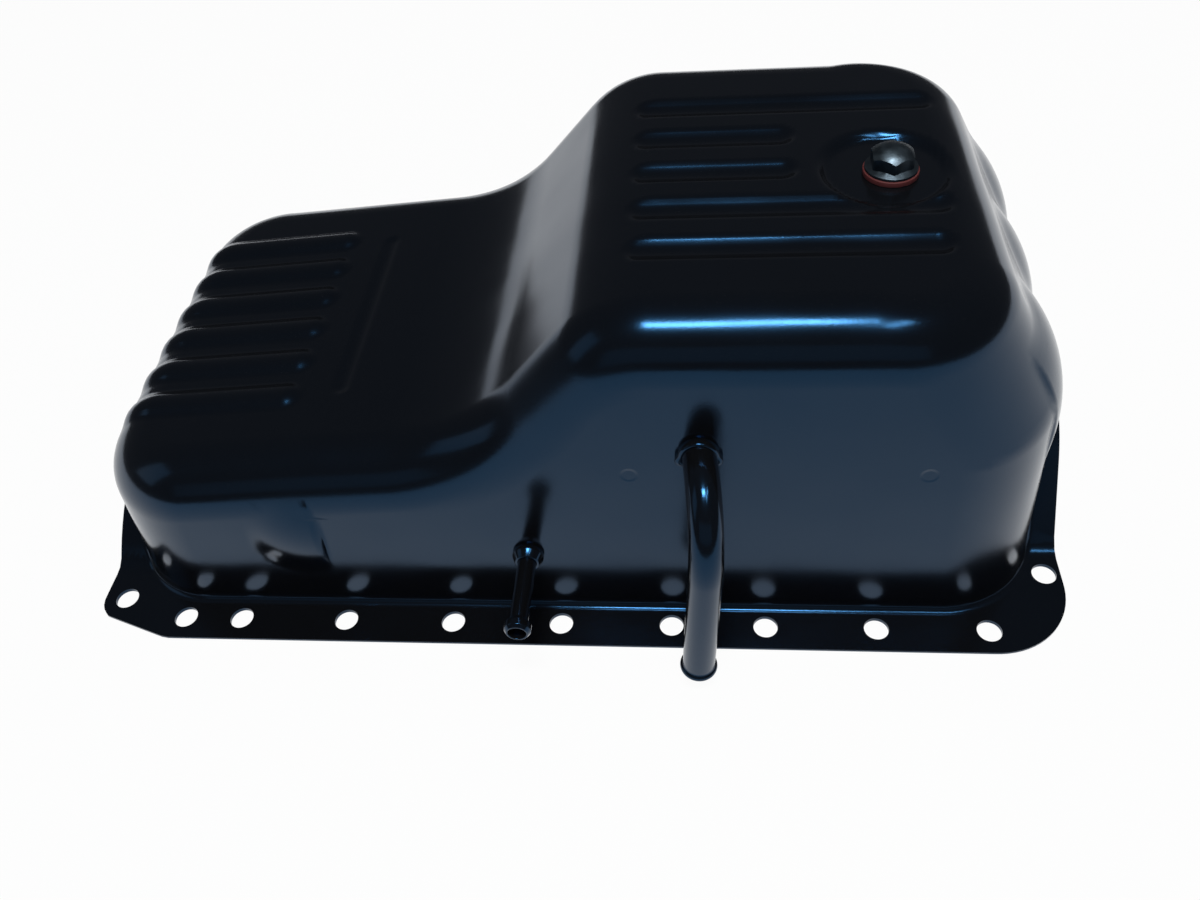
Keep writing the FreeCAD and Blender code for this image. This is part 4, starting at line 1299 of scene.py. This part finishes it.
class PressPan(bpy.types.Operator):
    """Build the pressed sheet with its flange, ramp, ribs, grooves and holes"""
    bl_idname = "oil_pan.press_pan"
    bl_label = "Press Pan"

    def execute(self, context):
        """Grid, holes, then exact normals."""
        scene = context.scene
        p, plug = scene.pan_pressing, scene.pan_plug
        form = PanForm(p, scene.pan_shapes)
        points, faces = SheetGrid(form).mesh()
        pan = new_piece("pressed_pan", points, [faces], "pan", "pan_shell")
        centres = [(x, side * p.row_half_width) for x in row_holes for side in (-1, 1)]
        centres += [(x, side * y) for x, y in end_holes for side in (-1, 1)]
        floor = p.sump_depth - scene.pan_shapes.recess_depth
        radius = [p.bolt_hole / 2] * len(centres) + [plug.thread / 2 + plug.hole_clearance]
        low = [-p.sheet] * len(centres) + [floor - 3 * p.sheet]
        high = [2 * p.sheet] * len(centres) + [floor + p.sheet]
        centres.append((plug.place, 0.0))
        pierce(pan, new_object("holes", *cylinders(centres, radius, low, high, p.hole_sides)))
        set_pan_normals(pan, form)
        finish(pan, paint())
        return {"FINISHED"}


class FormTube(bpy.types.Operator):
    """Build the bent return tube with its bead, and the collar that holds it"""
    bl_idname = "oil_pan.form_tube"
    bl_label = "Form Tube"

    def execute(self, context):
        """Circles carried along the centre line, and the collar's outline in layers on the wall."""
        scene = context.scene
        size = scene.pan_pipes
        form = PanForm(scene.pan_pressing, scene.pan_shapes)
        path = TubePath(form, size)
        profile = tube_profile(size, path)
        points = lathe(profile, path.carried, tube_sides)
        turned_piece("bent_tube", points, len(profile), "pan", "return_tube", paint())
        angles = circle_angles(collar_sides)
        ray = np.stack([np.cos(angles), np.sin(angles)], 1)
        body = collar_outline(size, ray)
        hole = np.full(collar_sides, size.tube_diameter / 2 - size.tube_wall * lip_share)
        thick = size.collar_thickness
        edge, halfway = 0.0006, 0.3
        sunk = -0.0008
        rows = [(hole, sunk), (body, sunk), (body, thick - edge),
                (body - edge * halfway, thick - edge * halfway), (body - edge, thick), (hole, thick)]
        layers = []
        for reach, height in rows:
            across = size.tube_place + reach * ray[:, 0]
            level = size.tube_level + reach * ray[:, 1]
            layers.append(np.column_stack([across, -form.half_width(level) - height, level]))
        turned_piece("tube_collar", np.concatenate(layers), len(rows), "pan",
                     "return_tube_collar", paint())
        return {"FINISHED"}


class TurnNipple(bpy.types.Operator):
    """Build the straight hose nipple and the coned boss that it is brazed into"""
    bl_idname = "oil_pan.turn_nipple"
    bl_label = "Turn Nipple"

    def execute(self, context):
        """Two profiles turned round the nipple's axis, which runs out of the front wall."""
        scene = context.scene
        size = scene.pan_pipes
        form = PanForm(scene.pan_pressing, scene.pan_shapes)
        wall = -form.half_width(size.nipple_level)

        def outwards(points):
            """Rows (x, y, height) with the height running out of the wall."""
            return np.stack([size.nipple_place + points[:, 0], wall - points[:, 2],
                             size.nipple_level + points[:, 1]], 1)

        outer = size.nipple_diameter / 2
        bore = outer - size.nipple_wall
        bead, mouth = size.nipple_bead / 2, size.nipple_mouth / 2
        neck = size.nipple_length - size.nipple_bead_length
        step = size.nipple_bead_length / 4
        root, end = -size.nipple_inside, size.nipple_length
        clear_of_boss = 0.006
        rim, neck_round, bead_round, mouth_round, soft = 0.0003, 0.0012, 0.0009, 0.0002, 0.0005
        corners = [
            (bore, root, rim), (outer, root, rim), (outer, clear_of_boss, 0.0), (outer, neck, neck_round),
            (bead, neck + step, bead_round), (bead, neck + 3 * step, bead_round),
            (mouth + size.nipple_wall / 2, end, mouth_round), (mouth, end, mouth_round),
            (mouth, end - step, soft), (bore, neck, soft),
        ]
        profile = rounded([corner[:2] for corner in corners], [corner[2] for corner in corners],
                          steps=arc_points + 1)
        points = lathe(profile, outwards, nipple_sides)
        turned_piece("nipple_pipe", points, len(profile), "pan", "hose_nipple", paint())
        base = size.nipple_collar / 2
        hole, sunk = outer * 0.9, -0.0006
        top = size.nipple_collar_length
        corners = [(hole, sunk), (base, sunk), (base, size.nipple_collar_rim),
                   (size.nipple_collar_top / 2, top), (hole, top)]
        profile = rounded(corners, [0.0, 0.0, soft, soft, 0.0])
        points = lathe(profile, outwards, nipple_sides)
        turned_piece("nipple_boss", points, len(profile), "pan", "nipple_collar", paint())
        return {"FINISHED"}


class TurnPlug(bpy.types.Operator):
    """Build the threaded drain plug with its domed hexagon, and the fibre seal under it"""
    bl_idname = "oil_pan.turn_plug"
    bl_label = "Turn Plug"

    def execute(self, context):
        """The plug is one surface of rings from its crown to its tip, closed by a point at each end."""
        scene = context.scene
        size = scene.pan_plug
        low = scene.pan_pressing.sump_depth - scene.pan_shapes.recess_depth
        seat = low + size.washer_thickness
        tip = size.washer_thickness + scene.pan_pressing.sheet + size.boss_height + size.tip
        angles = circle_angles(plug_sides)
        rows = plug_head(size, angles) + plug_shank(size, tip, angles)
        layers = []
        for radius, height in rows:
            x, y = size.place + radius * np.cos(angles), radius * np.sin(angles)
            layers.append(np.column_stack([x, y, seat + height]))
        crown = seat + size.flange_thickness + size.hex_height
        layers.append(np.array([(size.place, 0, crown), (size.place, 0, seat - tip)]))
        here, ahead = np.arange(plug_sides), np.roll(np.arange(plug_sides), -1)
        count = len(rows) * plug_sides
        lowest = count - plug_sides
        start = np.stack([np.full(plug_sides, count), here, ahead], 1)
        end = np.stack([np.full(plug_sides, count + 1), lowest + ahead, lowest + here], 1)
        faces = [grid_faces(len(rows), plug_sides)[:, ::-1], start, end]
        plug = new_piece("threaded_plug", np.concatenate(layers), faces, "plug", "drain_plug")
        face_out(plug)
        crease = math.radians(28)
        plug.data.set_sharp_from_angle(angle=crease)
        finish(plug, plug_metal(scene.pan_finish))
        inner, outer = size.thread / 2 + size.washer_clearance, size.washer_diameter / 2
        profile = rounded([(inner, low), (outer, low), (outer, seat), (inner, seat)], [size.edge] * 4)
        points = lathe(profile, lambda turned: turned + (size.place, 0, 0), seal_sides)
        turned_piece("seal_ring", points, len(profile), "seal", "drain_washer",
                     red_fibre(scene.pan_finish))
        return {"FINISHED"}


class FinishInside(bpy.types.Operator):
    """Give the baffle and the threaded boss inside the pan their finish"""
    bl_idname = "oil_pan.finish_inside"
    bl_label = "Finish Inside"

    def execute(self, context):
        """Both keep their CAD shape."""
        steel = bare_steel(context.scene.pan_finish)
        for name in ("baffle_plate", "drain_boss"):
            finish(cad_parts[name], steel)
        return {"FINISHED"}


def area_lamp(name, place, size, power):
    """A rectangular lamp at a place, turned to the pan."""
    lamp = bpy.data.lights.new(name, "AREA")
    lamp.shape = "RECTANGLE"
    lamp.size, lamp.size_y = size
    lamp.energy = power
    lamp.color = lamp_tint
    thing = bpy.data.objects.new(name, lamp)
    thing.location = place
    thing.rotation_euler = (Vector(lamp_aim) - Vector(place)).to_track_quat("-Z", "Y").to_euler()
    bpy.context.scene.collection.objects.link(thing)


class SetStage(bpy.types.Operator):
    """Build the floor, lamps, room and camera"""
    bl_idname = "oil_pan.set_stage"
    bl_label = "Set Stage"

    def execute(self, context):
        """A pale floor that shows white to the camera and in reflections, a dark room and strip lamps."""
        scene = context.scene
        look = scene.pan_stage
        corners = np.array([(-1, -1, 0), (1, -1, 0), (1, 1, 0), (-1, 1, 0)])
        floor = new_object("floor", corners * look.floor_size / 2, np.array([(0, 1, 2, 3)]))
        floor.location.z = -look.floor_gap
        material = bpy.data.materials.new("floor")
        material.use_nodes = True
        tree = material.node_tree
        shader = tree.nodes["Principled BSDF"]
        shader.inputs["Base Color"].default_value = (*look.floor_colour, 1)
        shader.inputs["Roughness"].default_value = 0.9
        path = node(tree, "ShaderNodeLightPath", (-600, 300))
        seen = node(tree, "ShaderNodeMath", (-400, 300), operation="MAXIMUM")
        tree.links.new(path.outputs["Is Camera Ray"], seen.inputs[0])
        tree.links.new(path.outputs["Is Glossy Ray"], seen.inputs[1])
        clear = node(tree, "ShaderNodeMath", (-250, 300), operation="MAXIMUM")
        tree.links.new(seen.outputs[0], clear.inputs[0])
        tree.links.new(path.outputs["Is Transmission Ray"], clear.inputs[1])
        lit = node(tree, "ShaderNodeEmission", (-100, 300))
        lit.inputs["Strength"].default_value = 1.0
        blend = node(tree, "ShaderNodeMixShader", (150, 200))
        part = node(tree, "ShaderNodeMath", (-80, 450), operation="MULTIPLY")
        part.inputs[1].default_value = look.floor_glow
        tree.links.new(clear.outputs[0], part.inputs[0])
        tree.links.new(part.outputs[0], blend.inputs[0])
        tree.links.new(shader.outputs[0], blend.inputs[1])
        tree.links.new(lit.outputs[0], blend.inputs[2])
        tree.links.new(blend.outputs[0], tree.nodes["Material Output"].inputs["Surface"])
        floor.data.materials.append(material)
        world = scene.world or bpy.data.worlds.new("room")
        scene.world = world
        world.use_nodes = True
        ground = world.node_tree.nodes["Background"]
        ground.inputs["Color"].default_value = (*look.world_colour, 1)
        ground.inputs["Strength"].default_value = 1.0
        for name, (place, size, power) in lamps.items():
            area_lamp(name, place, size, power)
        eye = bpy.data.cameras.new("camera")
        eye.sensor_width = 36.0
        eye.lens = look.camera_lens
        eye.shift_y = look.camera_shift
        eye.clip_start = 0.01
        camera = bpy.data.objects.new("camera", eye)
        back = -Vector(look.camera_ahead).normalized()
        up = Vector(look.camera_up).normalized()
        right = up.cross(back).normalized()
        turn = Matrix((right, up, back)).transposed().to_4x4()
        camera.matrix_world = Matrix.Translation(Vector(look.camera_place)) @ turn
        scene.collection.objects.link(camera)
        scene.camera = camera
        scene.view_settings.view_transform = "Standard"
        return {"FINISHED"}


class OilPanPanel(bpy.types.Panel):
    """Sidebar panel of the oil pan's pieces"""
    bl_idname = "VIEW3D_PT_oil_pan"
    bl_label = "Oil Pan"
    bl_space_type = "VIEW_3D"
    bl_region_type = "UI"
    bl_category = "Oil Pan"

    def draw(self, context):
        """One button a piece, then the sizes and colours."""
        for operator in operators:
            self.layout.operator(operator.bl_idname)
        for name, (group, title) in groups.items():
            settings = getattr(context.scene, name)
            box = self.layout.box()
            box.label(text=title)
            for key in group.__annotations__:
                box.prop(settings, key)


groups = {
    "pan_pressing": (PressingSizes, "Pressing"),
    "pan_shapes": (PressedShapeSizes, "Pressed shapes"),
    "pan_pipes": (PipeSizes, "Pipes"),
    "pan_plug": (PlugSizes, "Drain plug"),
    "pan_finish": (FinishLook, "Finish"),
    "pan_detail": (PaintDetail, "Paint detail"),
    "pan_stage": (StageLook, "Stage"),
}
operators = (PressPan, FormTube, TurnNipple, TurnPlug, FinishInside, SetStage)
classes = tuple(group for group, _ in groups.values()) + operators + (OilPanPanel,)


def register():
    """Registers the classes and hangs the settings on the scene."""
    for item in classes:
        bpy.utils.register_class(item)
    for name, (group, _) in groups.items():
        setattr(bpy.types.Scene, name, PointerProperty(type=group))


def unregister():
    """Takes the settings and the classes away again."""
    for name in groups:
        delattr(bpy.types.Scene, name)
    for item in reversed(classes):
        bpy.utils.unregister_class(item)


def main():
    """Builds every piece and the stage."""
    register()
    for operator in operators:
        group, name = operator.bl_idname.split(".")
        getattr(getattr(bpy.ops, group), name)()


if __name__ == "__main__":
    main()
